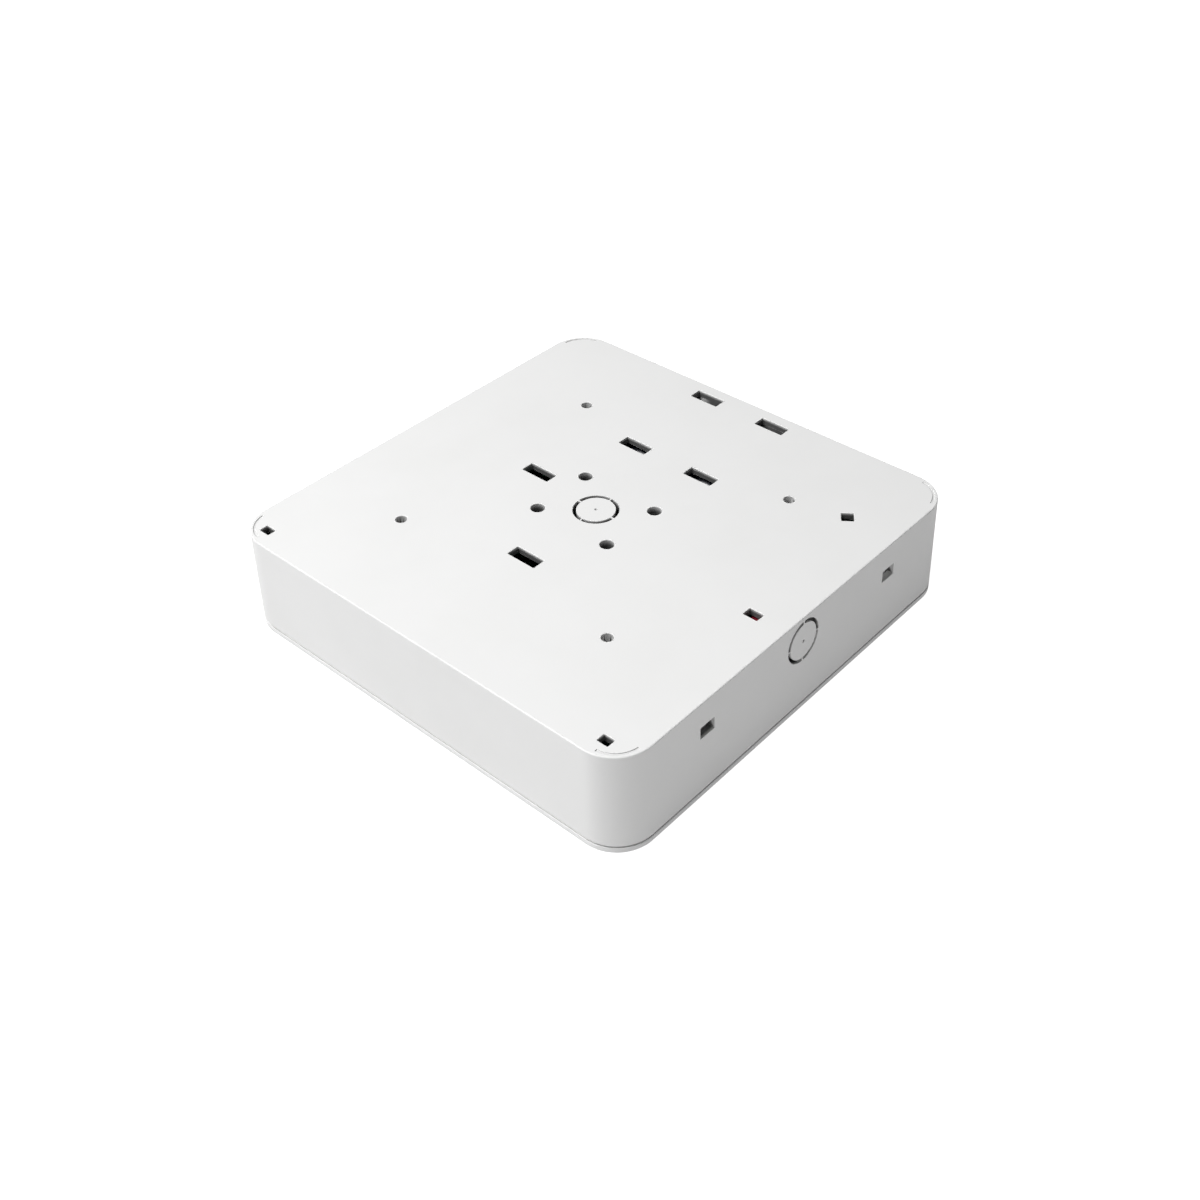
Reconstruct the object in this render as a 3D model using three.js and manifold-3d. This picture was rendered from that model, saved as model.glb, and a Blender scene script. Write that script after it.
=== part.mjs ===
// A wall-mounted smart home hub lying face down: the front cover is underneath, the wall side is on top.
// Millimetres. +Z leaves the wall side, -Y is the side with the cable knockout, and the origin is the
// middle of the front face.
import * as THREE from "three";
import { mergeVertices } from "three/addons/utils/BufferGeometryUtils.js";
import Module from "manifold-3d";

const wasm = await Module();
wasm.setup();

// ---- Driving dimensions ----
const HALF = 81.5; // half the outline at the front edge
const HEIGHT = 36;
const DRAFT = 1; // how far each wall leans in over the whole height
const CORNER = 13.3; // outline corner radius at the front edge
const WALL = 2.2;
const BACK = 2.4; // thickness of the wall-side plate
const EDGE = 0.6; // rounding of the wall-side edge
const COVER = 2; // thickness of the front cover
const COVER_EDGE = 0.5;
const RIM = 2.5; // height where the housing starts, above the seam
const GAP = 0.3; // clearance between touching pieces
const THROUGH = 1; // how far a cutting shape runs past the faces it cuts

const INNER_BACK = HEIGHT - BACK; // inner face of the wall-side plate
const BOARD_TOP = 25.2; // wall-side face of the circuit board
const BOARD_THICK = 1.6;
const BOARD_FACE = BOARD_TOP - BOARD_THICK; // cover-side face of the circuit board
const SEAT = BOARD_FACE - GAP; // where components on the cover side end

const FIXING = 43.3; // wall-fixing holes at plus and minus this in x and y
const FIXING_R = 1.85;
const PILLAR_X = 11.25; // board pillars at plus and minus these
const PILLAR_Y = 14.65;
const CORE_R = 2.3; // cored hole in each pillar, open to the wall side
const SLOT_W = 4.6;
const SLOT_L = 11;
const BATTERY_SLOTS_X = [35.3, 73.6];
const BATTERY_SLOT_Y = 13.9;
const BOARD_SLOTS = [[3.3, 27.8], [-31.8, 0]];
const KNOCKOUT_R = 7.45;
const KNOCKOUT_GROOVE = 1.15;
const KNOCKOUT_BRIDGE = 0.8;
const SIDE_KNOCKOUT_Z = 27;
const SNAP_X = 44.4; // cover snap arms at plus and minus this
const SNAP_Z = 25.1; // middle of the snap windows
const TAMPER = [-8.6, -68.6]; // tamper window
const TAMPER_PLUNGER = [-7.75, -68.75];
const BATTERY_X = 54.45;
const CELL_R = 9.3;
const CELL_SPACING = 18.8;
const BATTERY_L = 66;
const BATTERY_Z = INNER_BACK - GAP - CELL_R; // height of the cells' axes

// ---- Places of the board's parts, as x, y of their middles ----
const LED = [0, 62];
const POWER_BUTTON = [-24, -60];
const JACK = [-51.5, -20];
const TERMINAL = [18, -57];
const SUPPLY = [50, -60.5];
const FUSE = [27, -66.5];
const VARISTOR = [27, -54];
const CAPACITORS = [[24, 44], [24, 57]];
const SOCKET = [27.5, -40];
const PROCESSOR = [-44, 25];
const MODEM = [-47, 60.5];
const SIM = [-17, 54];
const BUZZER = [58, 60];
const COIN = [-57, -60];
const HEADER = [-57, -40];
const TOP_ANTENNA = [33, 70];
const SIDE_ANTENNA = [-67, 32];

// ---- Finishes ----
const finish = (color, roughness, metalness = 0) => ({ color, roughness, metalness });
const WHITE = finish(0xeeeeec, 0.5);
const RED = finish(0x8c1420, 0.45);
const BLACK = finish(0x1b1b1d, 0.5);
const BOARD_GREEN = finish(0x0f3d2a, 0.45);
const STEEL = finish(0xb9bcc0, 0.35, 1);
const TIN = finish(0xc9c9c4, 0.3, 1);
const GOLD = finish(0xc7a24a, 0.35, 1);
const WRAP = finish(0x17181b, 0.35);
const BLUE = finish(0x23539b, 0.5);
const GREEN = finish(0x2f7d4a, 0.5);
const CLEAR = finish(0xe8eef2, 0.15);
const IVORY = finish(0xe6dfcd, 0.55);

// ---- Shape helpers ----
function toSolid(geometry) {
  geometry.deleteAttribute("normal");
  geometry.deleteAttribute("uv");
  const merged = mergeVertices(geometry, 1e-4);
  return new wasm.Manifold(new wasm.Mesh({
    numProp: 3,
    vertProperties: new Float32Array(merged.attributes.position.array),
    triVerts: new Uint32Array(merged.index.array),
  }));
}

// A box centred on x, y and standing on z.
function block(width, depth, height, x, y, z) {
  return toSolid(new THREE.BoxGeometry(width, depth, height).translate(x, y, z + height / 2));
}

// An upright cylinder centred on x, y and standing on z.
function rod(radius, height, x, y, z, sides = 24) {
  const shape = new THREE.CylinderGeometry(radius, radius, height, sides);
  return toSolid(shape.rotateX(Math.PI / 2).translate(x, y, z + height / 2));
}

// An outline extruded upwards from z.
function prism(shape, height, x, y, z, options = {}) {
  const settings = { depth: height, bevelEnabled: false, curveSegments: 5, ...options };
  return toSolid(new THREE.ExtrudeGeometry(shape, settings).translate(x, y, z));
}

// An outline drawn in x and z, extruded along Y for a length centred on y.
function prismAlongY(shape, length, x, y, z, options = {}) {
  const settings = { depth: length, bevelEnabled: false, curveSegments: 5, ...options };
  const geometry = new THREE.ExtrudeGeometry(shape, settings).rotateX(Math.PI / 2);
  return toSolid(geometry.translate(x, y + length / 2, z));
}

// A turned piece: profile points are [radius, height], listed from the bottom of the axis to the top.
function turned(profile, x, y, z, sides = 16) {
  const points = profile.map(([r, h]) => new THREE.Vector2(r, h));
  return toSolid(new THREE.LatheGeometry(points, sides).rotateX(Math.PI / 2).translate(x, y, z));
}

function roundedRectangle(halfX, halfY, radius) {
  const shape = new THREE.Shape();
  shape.absarc(halfX - radius, halfY - radius, radius, 0, Math.PI / 2);
  shape.absarc(radius - halfX, halfY - radius, radius, Math.PI / 2, Math.PI);
  shape.absarc(radius - halfX, radius - halfY, radius, Math.PI, 1.5 * Math.PI);
  shape.absarc(halfX - radius, radius - halfY, radius, 1.5 * Math.PI, 2 * Math.PI);
  return shape;
}

function polygon(points) {
  return new THREE.Shape(points.map(([x, y]) => new THREE.Vector2(x, y)));
}

function ringSector(inner, outer, from, to) {
  const shape = new THREE.Shape();
  shape.absarc(0, 0, outer, from, to, false);
  shape.absarc(0, 0, inner, to, from, true);
  return shape;
}

function joined(solids) {
  return solids.reduce((whole, next) => whole.add(next));
}

function without(solid, cutters) {
  return cutters.reduce((rest, cutter) => rest.subtract(cutter), solid);
}

const SIGNS = [-1, 1];
const fourCorners = (x, y) => SIGNS.flatMap((i) => SIGNS.map((j) => [i * x, j * y]));

// ---- Shell ----
const leanAt = (z) => 1 - (DRAFT * z) / (HALF * HEIGHT);

// A rounded square block whose sides lean in with the draft, inset from the outline by a given amount.
function draftedBlock(inset, from, to, edge = 0) {
  const settings = {
    depth: to - from - 2 * edge,
    bevelEnabled: edge > 0,
    bevelThickness: edge,
    bevelSize: edge,
    bevelOffset: -edge,
    bevelSegments: 2,
    curveSegments: 5,
  };
  const outline = roundedRectangle(HALF - inset, HALF - inset, CORNER - inset);
  const geometry = new THREE.ExtrudeGeometry(outline, settings).translate(0, 0, from + edge);
  const position = geometry.attributes.position;
  for (let i = 0; i < position.count; i += 1) {
    const lean = leanAt(position.getZ(i));
    position.setXY(i, position.getX(i) * lean, position.getY(i) * lean);
  }
  return toSolid(geometry);
}

// Four arcs that leave a disc hanging on four narrow bridges, cut along Z around the origin.
function knockoutArcs(depth) {
  const bridge = KNOCKOUT_BRIDGE / 2 / KNOCKOUT_R;
  const quarter = Math.PI / 2;
  return [0, 1, 2, 3].map((i) => {
    const [from, to] = [i * quarter + bridge, (i + 1) * quarter - bridge];
    const arc = ringSector(KNOCKOUT_R - KNOCKOUT_GROOVE, KNOCKOUT_R, from, to);
    return prism(arc, depth, 0, 0, 0, { curveSegments: 4 });
  });
}

const PIP_R = 0.45;
const PIP_DEPTH = 0.4;

function backKnockout() {
  const arcs = knockoutArcs(BACK + 2 * THROUGH).map((arc) => arc.translate([0, 0, INNER_BACK - THROUGH]));
  return [...arcs, rod(PIP_R, THROUGH, 0, 0, HEIGHT - PIP_DEPTH, 8)];
}

function sideKnockout() {
  const outside = -HALF * leanAt(SIDE_KNOCKOUT_Z);
  const place = (solid, y) => solid.rotate([90, 0, 0]).translate([0, y, SIDE_KNOCKOUT_Z]);
  const arcs = knockoutArcs(WALL + 2 * THROUGH).map((arc) => place(arc, outside + WALL + THROUGH));
  return [...arcs, place(rod(PIP_R, THROUGH, 0, 0, 0, 8), outside + PIP_DEPTH)];
}

const ARC_CENTRE = 69.2;
const ARC_R = 9.6;
const ARC_WIDTH = 0.6;
const ARC_DEPTH = 0.35;
const ARC_HALF_SPAN = THREE.MathUtils.degToRad(42);

function cornerGroove([x, y]) {
  const middle = Math.atan2(y, x);
  const arc = ringSector(ARC_R - ARC_WIDTH, ARC_R, middle - ARC_HALF_SPAN, middle + ARC_HALF_SPAN);
  return prism(arc, THROUGH, x, y, HEIGHT - ARC_DEPTH, { curveSegments: 4 });
}

const POST_R = 4;
const POST_END = 29.6; // height where the wall-fixing posts end
const PILLAR_R = 3.8;
const PILOT_R = 1.3;
const REST_R = 2.5; // plain posts that the board's corners rest on
const REST = 61;

function housingPosts() {
  const root = INNER_BACK + THROUGH;
  const post = (radius, end, sides) => ([x, y]) => rod(radius, root - end, x, y, end, sides);
  return [
    ...fourCorners(FIXING, FIXING).map(post(POST_R, POST_END, 24)),
    ...fourCorners(PILLAR_X, PILLAR_Y).map(post(PILLAR_R, BOARD_TOP + GAP, 24)),
    ...fourCorners(REST, REST).map(post(REST_R, BOARD_TOP + GAP, 12)),
  ];
}

const HOOK_WIDTH = 10;
const HOOK_THICK = 1.6;

// A sprung hook beside a slot: its arm stands at the slot's edge and its nose points under the slot.
// side is 1 where the nose points to +X. catchZ is the nose's holding face.
function hook(slotX, y, side, catchZ, reach, drop) {
  const edge = slotX - (side * SLOT_W) / 2;
  const outline = [
    [-HOOK_THICK, INNER_BACK + THROUGH],
    [-HOOK_THICK, catchZ - drop],
    [0, catchZ - drop],
    [reach, catchZ - GAP * 2],
    [reach, catchZ],
    [0, catchZ],
    [0, INNER_BACK + THROUGH],
  ].map(([x, z]) => [side * x, z]);
  return prismAlongY(polygon(side > 0 ? outline : outline.reverse()), HOOK_WIDTH, edge, y, 0);
}

const BATTERY_CATCH = 19.8;
const BATTERY_REACH = 3.2;
const BATTERY_DROP = 5.4;
const BOARD_REACH = 2.4;
const BOARD_DROP = 2.8;
const STOP = [12, HOOK_THICK, 8]; // the plates that stop the battery from sliding along Y

function housingHooks() {
  const battery = SIGNS.flatMap((sign) => BATTERY_SLOTS_X.map((x, i) => (
    hook(x, sign * BATTERY_SLOT_Y, i === 0 ? 1 : -1, BATTERY_CATCH, BATTERY_REACH, BATTERY_DROP)
  )));
  const board = BOARD_SLOTS.map(([x, y]) => hook(x, y, 1, BOARD_FACE - GAP, BOARD_REACH, BOARD_DROP));
  const stopY = BATTERY_L / 2 + GAP + STOP[1] / 2;
  const stops = SIGNS.map((sign) => (
    block(STOP[0], STOP[1], STOP[2] + THROUGH, BATTERY_X, sign * stopY, INNER_BACK - STOP[2])
  ));
  return [...battery, ...board, ...stops];
}

function backOpenings() {
  const depth = BACK + 2 * THROUGH;
  const from = INNER_BACK - THROUGH;
  const slot = (x, y) => block(SLOT_W, SLOT_L, depth, x, y, from);
  const turnedWindow = block(4.1, 4, depth, 0, 0, from).rotate([0, 0, 37]).translate([47.5, -62.6, 0]);
  return [
    ...BATTERY_SLOTS_X.flatMap((x) => SIGNS.map((sign) => slot(x, sign * BATTERY_SLOT_Y))),
    ...BOARD_SLOTS.map(([x, y]) => slot(x, y)),
    block(3, 4.1, depth, -74.2, 71, from),
    block(3, 3.8, depth, -73.9, -70, from),
    block(3.4, 5, depth, TAMPER[0], TAMPER[1], from),
    turnedWindow,
  ];
}

const CORE_FLOOR = 30.6;
const PILOT_END = 29.8;
const SNAP_WINDOW = [6.2, 4.1];

function housingHoles() {
  const start = BOARD_TOP - THROUGH;
  return [
    ...fourCorners(FIXING, FIXING).map(([x, y]) => rod(FIXING_R, HEIGHT, x, y, POST_END - THROUGH)),
    ...fourCorners(PILLAR_X, PILLAR_Y).flatMap(([x, y]) => [
      rod(CORE_R, HEIGHT, x, y, CORE_FLOOR),
      rod(PILOT_R, PILOT_END - start, x, y, start, 16),
    ]),
    ...SIGNS.map((sign) => (
      block(SNAP_WINDOW[0], 4 * WALL, SNAP_WINDOW[1], sign * SNAP_X, -HALF, SNAP_Z - SNAP_WINDOW[1] / 2)
    )),
  ];
}

function rearHousing() {
  const tray = draftedBlock(0, RIM, HEIGHT, EDGE).subtract(draftedBlock(WALL, -THROUGH, INNER_BACK));
  return without(joined([tray, ...housingPosts(), ...housingHooks()]), [
    ...housingHoles(),
    ...backOpenings(),
    ...backKnockout(),
    ...sideKnockout(),
    ...fourCorners(ARC_CENTRE, ARC_CENTRE).map(cornerGroove),
  ]);
}

// ---- Front cover ----
const LIP_INSET = WALL + 0.6;
const LIP_THICK = 1.4;
const LIP_TOP = 7;
const ARM_WIDTH = 5.6;
const ARM_THICK = 1.6;
const ARM_TOP = 27.6;
const ARM_FACE = 78.2; // distance of each snap arm's outer face from the middle
const TAB_TOP = 12;
const GUIDE_R = 3;
const FLANGE_R = 4.2;
const RIB = 1.2;
const RIB_TOP = 2.9;

function coverRibs() {
  const length = 2 * (HALF - LIP_INSET) - LIP_THICK;
  return [-40, 0, 40].flatMap((at) => [
    block(RIB, length, RIB_TOP - COVER + THROUGH, at, 0, COVER - THROUGH),
    block(length, RIB, RIB_TOP - COVER + THROUGH, 0, at, COVER - THROUGH),
  ]);
}

function coverArms() {
  return SIGNS.flatMap((sign) => [
    block(ARM_WIDTH, ARM_THICK, ARM_TOP - THROUGH, sign * SNAP_X, ARM_THICK / 2 - ARM_FACE, THROUGH),
    block(ARM_WIDTH, 2 * ARM_THICK, LIP_TOP - THROUGH, sign * SNAP_X, ARM_THICK - ARM_FACE, THROUGH),
    block(ARM_WIDTH + 3, LIP_THICK, TAB_TOP - THROUGH, sign * SNAP_X, ARM_FACE - LIP_THICK / 2, THROUGH),
  ]);
}

function frontCover() {
  const plate = draftedBlock(0, 0, COVER, COVER_EDGE);
  const lipOutside = draftedBlock(LIP_INSET, THROUGH, LIP_TOP);
  const lip = lipOutside.subtract(draftedBlock(LIP_INSET + LIP_THICK, 0, LIP_TOP + THROUGH));
  const boss = rod(FLANGE_R + 1.6, 6, LED[0], LED[1], THROUGH);
  return without(joined([plate, lip, boss, ...coverArms(), ...coverRibs()]), [
    rod(GUIDE_R + GAP, HEIGHT, LED[0], LED[1], -THROUGH),
    rod(FLANGE_R + GAP, HEIGHT, LED[0], LED[1], COVER),
  ]);
}

// A clear rod with a holding flange: it carries the indicator's light to the front face.
function lightGuide() {
  const low = 0.2;
  const flange = COVER + GAP - low;
  const top = 21.4 - low;
  return turned([
    [0, 0], [GUIDE_R, 0], [GUIDE_R, flange], [FLANGE_R, flange], [FLANGE_R, flange + 1.2],
    [GUIDE_R, flange + 1.2], [GUIDE_R - 0.5, top], [0, top],
  ], LED[0], LED[1], low, 20);
}

// ---- Circuit board ----
const BOARD_HALF_X = 70;
const BOARD_HALF_Y = 73;
const BAY_X = 31; // the battery bay runs from here to the board's edge
const BAY_HALF_Y = 35.5;
const CABLE_HOLE_R = 10;
const ACCESS_R = 4.2;
const SCREW_HOLE_R = 1.4;

function mainBoard() {
  const cut = BOARD_THICK + 2 * THROUGH;
  const from = BOARD_FACE - THROUGH;
  const outline = roundedRectangle(BOARD_HALF_X, BOARD_HALF_Y, 3);
  const board = prism(outline, BOARD_THICK, 0, 0, BOARD_FACE, { curveSegments: 2 });
  const hookOpening = ([x, y]) => block(2.4, HOOK_WIDTH + 1, cut, x - SLOT_W / 2 - HOOK_THICK / 2, y, from);
  const bayWidth = BOARD_HALF_X - BAY_X + THROUGH;
  return without(board, [
    block(bayWidth, 2 * BAY_HALF_Y, cut, BAY_X + bayWidth / 2, 0, from),
    rod(CABLE_HOLE_R, cut, 0, 0, from),
    block(13, 16, cut, 2.5, -BOARD_HALF_Y, from),
    ...BOARD_SLOTS.map(hookOpening),
    ...fourCorners(FIXING, FIXING).map(([x, y]) => rod(ACCESS_R, cut, x, y, from, 20)),
    ...fourCorners(PILLAR_X, PILLAR_Y).map(([x, y]) => rod(SCREW_HOLE_R, cut, x, y, from, 12)),
  ]);
}

function boardScrew([x, y]) {
  const head = 1.9;
  const base = SEAT - head;
  const tip = 8;
  const screw = turned([
    [0, 0], [1.7, 0], [2.4, 0.6], [2.5, head], [1, head], [1, tip - 0.6], [0.4, tip], [0, tip],
  ], x, y, base, 12);
  return without(screw, [
    block(2.6, 0.6, 2, x, y, base - THROUGH),
    block(0.6, 2.6, 2, x, y, base - THROUGH),
  ]);
}

// ---- Battery ----
const LEAD_R = 0.8;

function batteryPack() {
  const edge = 0.8;
  const shape = roundedRectangle(CELL_SPACING / 2 + CELL_R, CELL_R, CELL_R - 0.5);
  return prismAlongY(shape, BATTERY_L - 2 * edge, BATTERY_X, 0, BATTERY_Z, {
    bevelEnabled: true, bevelThickness: edge, bevelSize: edge, bevelOffset: -edge, bevelSegments: 1,
    curveSegments: 4,
  });
}

// A round lead on a smooth curve through the given points.
function lead(points, steps) {
  const shape = new THREE.Shape().absarc(0, 0, LEAD_R, 0, 2 * Math.PI);
  const path = new THREE.CatmullRomCurve3(points.map((p) => new THREE.Vector3(...p)));
  return toSolid(new THREE.ExtrudeGeometry(shape, {
    extrudePath: path, steps, bevelEnabled: false, curveSegments: 4,
  }));
}

// The two leads leave the end of the pack and turn into the plug, side by side.
function batteryLead(offset) {
  const [x, y] = SOCKET;
  const end = -BATTERY_L / 2 - GAP;
  const z = SEAT - 3.5;
  return lead([
    [44 + offset, end, z - 1], [44 + offset, end - 2.2, z - 1], [41.5 + offset, y + 0.8 - offset, z - 0.5],
    [37, y - offset * 0.8, z], [x + 4.8 + GAP, y - offset * 0.8, z],
  ], 14);
}

function batteryPlug() {
  return block(4.4, 7, 4.6, SOCKET[0] + 2.6, SOCKET[1], SEAT - 5.8);
}

function batterySocket() {
  const [x, y] = SOCKET;
  const body = block(7, 9, 6.6, x - 0.7, y, SEAT - 6.6);
  return body.subtract(block(6, 7.6, 5.2, x + 2.9, y, SEAT - 6.1));
}

// ---- Power supply ----
const TERMINAL_SIZE = [8.2, 10.2, 10.5];
const POLE = 2.54; // each pole's distance from the terminal's middle

function powerTerminal() {
  const [x, y] = TERMINAL;
  const [width, depth, height] = TERMINAL_SIZE;
  const body = block(width, depth, height, x, y, SEAT - height);
  return without(body, SIGNS.flatMap((sign) => [
    block(5, 3.6, 4, x - width / 2, y + sign * POLE, SEAT - 6),
    rod(2.1, 3.6 + THROUGH, x, y + sign * POLE, SEAT - height - THROUGH, 16),
  ]));
}

function terminalScrew(sign) {
  const y = TERMINAL[1] + sign * POLE;
  const base = SEAT - TERMINAL_SIZE[2] + 1;
  return rod(1.7, 2.2, TERMINAL[0], y, base, 16).subtract(block(4, 0.6, 1.8, TERMINAL[0], y, base - THROUGH));
}

function powerModule() {
  const edge = 0.8;
  const height = 16;
  return prism(roundedRectangle(17, 11, 1.5), height - 2 * edge, SUPPLY[0], SUPPLY[1], SEAT - height + edge, {
    bevelEnabled: true, bevelThickness: edge, bevelSize: edge, bevelOffset: -edge, bevelSegments: 1,
    curveSegments: 1,
  });
}

function fuse() {
  const top = 7.5;
  return turned([[0, 0], [3.7, 0], [4.2, 0.5], [4.2, top], [0, top]], FUSE[0], FUSE[1], SEAT - top, 16);
}

function varistor() {
  const disc = turned([[0, -2], [3.6, -1.8], [5, -0.8], [5, 0.8], [3.6, 1.8], [0, 2]], 0, 0, 0, 20);
  return disc.rotate([0, 90, 0]).translate([VARISTOR[0], VARISTOR[1], SEAT - 5.4]);
}

function capacitor(x, y) {
  const top = 16;
  return turned([
    [0, 0], [4.6, 0], [5, 0.5], [5, top - 2.4], [4.6, top - 1.9], [5, top - 1.4], [5, top], [0, top],
  ], x, y, SEAT - top, 20);
}

// ---- Data, radio and indicator parts ----
const JACK_SIZE = [21, 16, 13.5];

function ethernetJack() {
  const [x, y] = JACK;
  const [length, width, height] = JACK_SIZE;
  const low = SEAT - height;
  const mouth = x + length / 2;
  const body = block(length, width, height, x, y, low);
  return without(body, [
    block(28, 11.9, 8.3, mouth, y, low + 1.8),
    block(28, 6, 3, mouth, y, low + 9),
    block(28, 3.2, 3, mouth, y, low + 10.4),
  ]);
}

function shieldCan() {
  const height = 3;
  const edge = 0.5;
  const [x, y] = PROCESSOR;
  return prism(roundedRectangle(17, 13, 1.2), height - 2 * edge, x, y, SEAT - height + edge, {
    bevelEnabled: true, bevelThickness: edge, bevelSize: edge, bevelOffset: -edge, bevelSegments: 1,
    curveSegments: 1,
  });
}

function modemModule() {
  const carrier = block(26, 20, 0.8, MODEM[0], MODEM[1], SEAT - 0.8);
  return carrier.add(block(24, 17, 2.4, MODEM[0], MODEM[1], SEAT - 2.6));
}

function simHolder() {
  const [x, y] = SIM;
  const body = block(15, 13.5, 1.9, x, y, SEAT - 1.9);
  return without(body, [
    block(12.6, 12.4, 0.9, x, y - 1.5, SEAT - 1.4),
    block(6, 4, 2, x, y + 1, SEAT - 2.9),
  ]);
}

function buzzer() {
  const top = 8;
  const [x, y] = BUZZER;
  const can = turned([[0, 0], [5.4, 0], [6, 0.6], [6, top], [0, top]], x, y, SEAT - top, 24);
  return can.subtract(rod(1.2, 2, x, y, SEAT - top - THROUGH, 12));
}

const COIN_R = 10;
const COIN_THICK = 3.2;

function coinCell() {
  const low = SEAT - COIN_THICK - 1.2;
  return turned([
    [0, 0], [8.6, 0], [8.6, 0.3], [COIN_R, 0.5], [COIN_R, COIN_THICK], [0, COIN_THICK],
  ], COIN[0], COIN[1], low, 28);
}

function coinCellHolder() {
  const height = 5;
  const cup = rod(COIN_R + 1.6, height, COIN[0], COIN[1], SEAT - height, 28);
  return without(cup, [
    rod(COIN_R + GAP, height, COIN[0], COIN[1], SEAT - height - 0.9, 28),
    block(8, 6, 3, COIN[0], COIN[1] - COIN_R - 1, SEAT - height - THROUGH),
  ]);
}

const STRIP = 0.6;

// A stamped strip antenna standing on the board: a bar on two legs with a folded tail.
function antenna(length) {
  const outline = polygon([
    [0, 0], [2, 0], [2, -5], [6, -5], [6, -1.5], [8, -1.5], [8, -5], [length - 2, -5],
    [length - 2, -2], [length, -2], [length, -8], [0, -8],
  ].reverse());
  return prismAlongY(outline, STRIP, 0, 0, 0).translate([-length / 2, 0, SEAT]);
}

function statusLed() {
  const base = block(3, 3, 0.8, LED[0], LED[1], SEAT - 0.8);
  return base.add(rod(1.1, 0.6, LED[0], LED[1], SEAT - 1.3, 16));
}

function serviceHeader() {
  const pitch = 2.54;
  const [x, y] = HEADER;
  const base = block(5 * pitch, 2 * pitch, 2.5, x, y, SEAT - 2.5);
  const pins = [-2, -1, 0, 1, 2].flatMap((i) => [-0.5, 0.5].map((j) => (
    block(0.64, 0.64, 8, x + i * pitch, y + j * pitch, SEAT - 8.5)
  )));
  return joined([base, ...pins]);
}

// ---- Switches ----
const PLUNGER = 4.3;
const PLUNGER_TOP = 33;
const PLUNGER_LOW = 28.4;
const BUTTON_R = 1.65;
const BUTTON_LOW = 14;
const BUTTON_HIGH = 21.2;

function tamperSwitch() {
  const [x, y] = TAMPER_PLUNGER;
  const base = BOARD_TOP + GAP;
  const body = block(6.4, 6.8, 4.3, x, y, base);
  return body.subtract(block(PLUNGER + 2 * GAP, PLUNGER + 2 * GAP, 4, x, y, base + 1.2));
}

function tamperPlunger() {
  const [x, y] = TAMPER_PLUNGER;
  const edge = 0.4;
  const half = PLUNGER / 2;
  const straight = PLUNGER_TOP - PLUNGER_LOW - 2 * edge;
  return prism(roundedRectangle(half, half, 0.6), straight, x, y, PLUNGER_LOW + edge, {
    bevelEnabled: true, bevelThickness: edge, bevelSize: edge, bevelOffset: -edge, bevelSegments: 1,
    curveSegments: 1,
  });
}

function powerSwitch() {
  const [x, y] = POWER_BUTTON;
  const body = block(6.2, 6.2, 3.5, x, y, SEAT - 3.5);
  return body.subtract(rod(BUTTON_R + GAP, 2.2 + THROUGH, x, y, SEAT - 3.5 - THROUGH, 20));
}

function powerButton() {
  const [x, y] = POWER_BUTTON;
  const stem = BUTTON_HIGH - BUTTON_LOW;
  return turned([
    [0, 0], [2.2, 0], [2.6, 0.4], [2.6, 2.6], [BUTTON_R, 3.2], [BUTTON_R, stem], [0, stem],
  ], x, y, BUTTON_LOW, 20);
}

// ---- Assembly ----
function toMesh(name, solid, look) {
  const { numProp, vertProperties, triVerts } = solid.getMesh();
  const count = vertProperties.length / numProp;
  const positions = new Float32Array(count * 3);
  for (let i = 0; i < count; i += 1) {
    positions.set(vertProperties.subarray(i * numProp, i * numProp + 3), i * 3);
  }
  const geometry = new THREE.BufferGeometry();
  geometry.setAttribute("position", new THREE.BufferAttribute(positions, 3));
  geometry.setIndex(new THREE.BufferAttribute(triVerts, 1));
  geometry.computeVertexNormals();
  const mesh = new THREE.Mesh(geometry, new THREE.MeshStandardMaterial(look));
  mesh.name = name;
  return mesh;
}

function coverGroup() {
  const group = new THREE.Group();
  group.add(toMesh("front_cover", frontCover(), WHITE));
  group.add(toMesh("light_guide", lightGuide(), CLEAR));
  return group;
}

function powerGroup() {
  const group = new THREE.Group();
  group.add(toMesh("battery_pack", batteryPack(), WRAP));
  group.add(toMesh("battery_lead_red", batteryLead(-1.5), RED));
  group.add(toMesh("battery_lead_black", batteryLead(1.5), BLACK));
  group.add(toMesh("battery_plug", batteryPlug(), WHITE));
  group.add(toMesh("battery_socket", batterySocket(), IVORY));
  group.add(toMesh("power_terminal", powerTerminal(), GREEN));
  SIGNS.forEach((sign, i) => group.add(toMesh(`terminal_screw_${i + 1}`, terminalScrew(sign), STEEL)));
  group.add(toMesh("power_module", powerModule(), BLACK));
  group.add(toMesh("fuse", fuse(), BLACK));
  group.add(toMesh("varistor", varistor(), BLUE));
  CAPACITORS.forEach(([x, y], i) => group.add(toMesh(`filter_capacitor_${i + 1}`, capacitor(x, y), BLACK)));
  return group;
}

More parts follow.
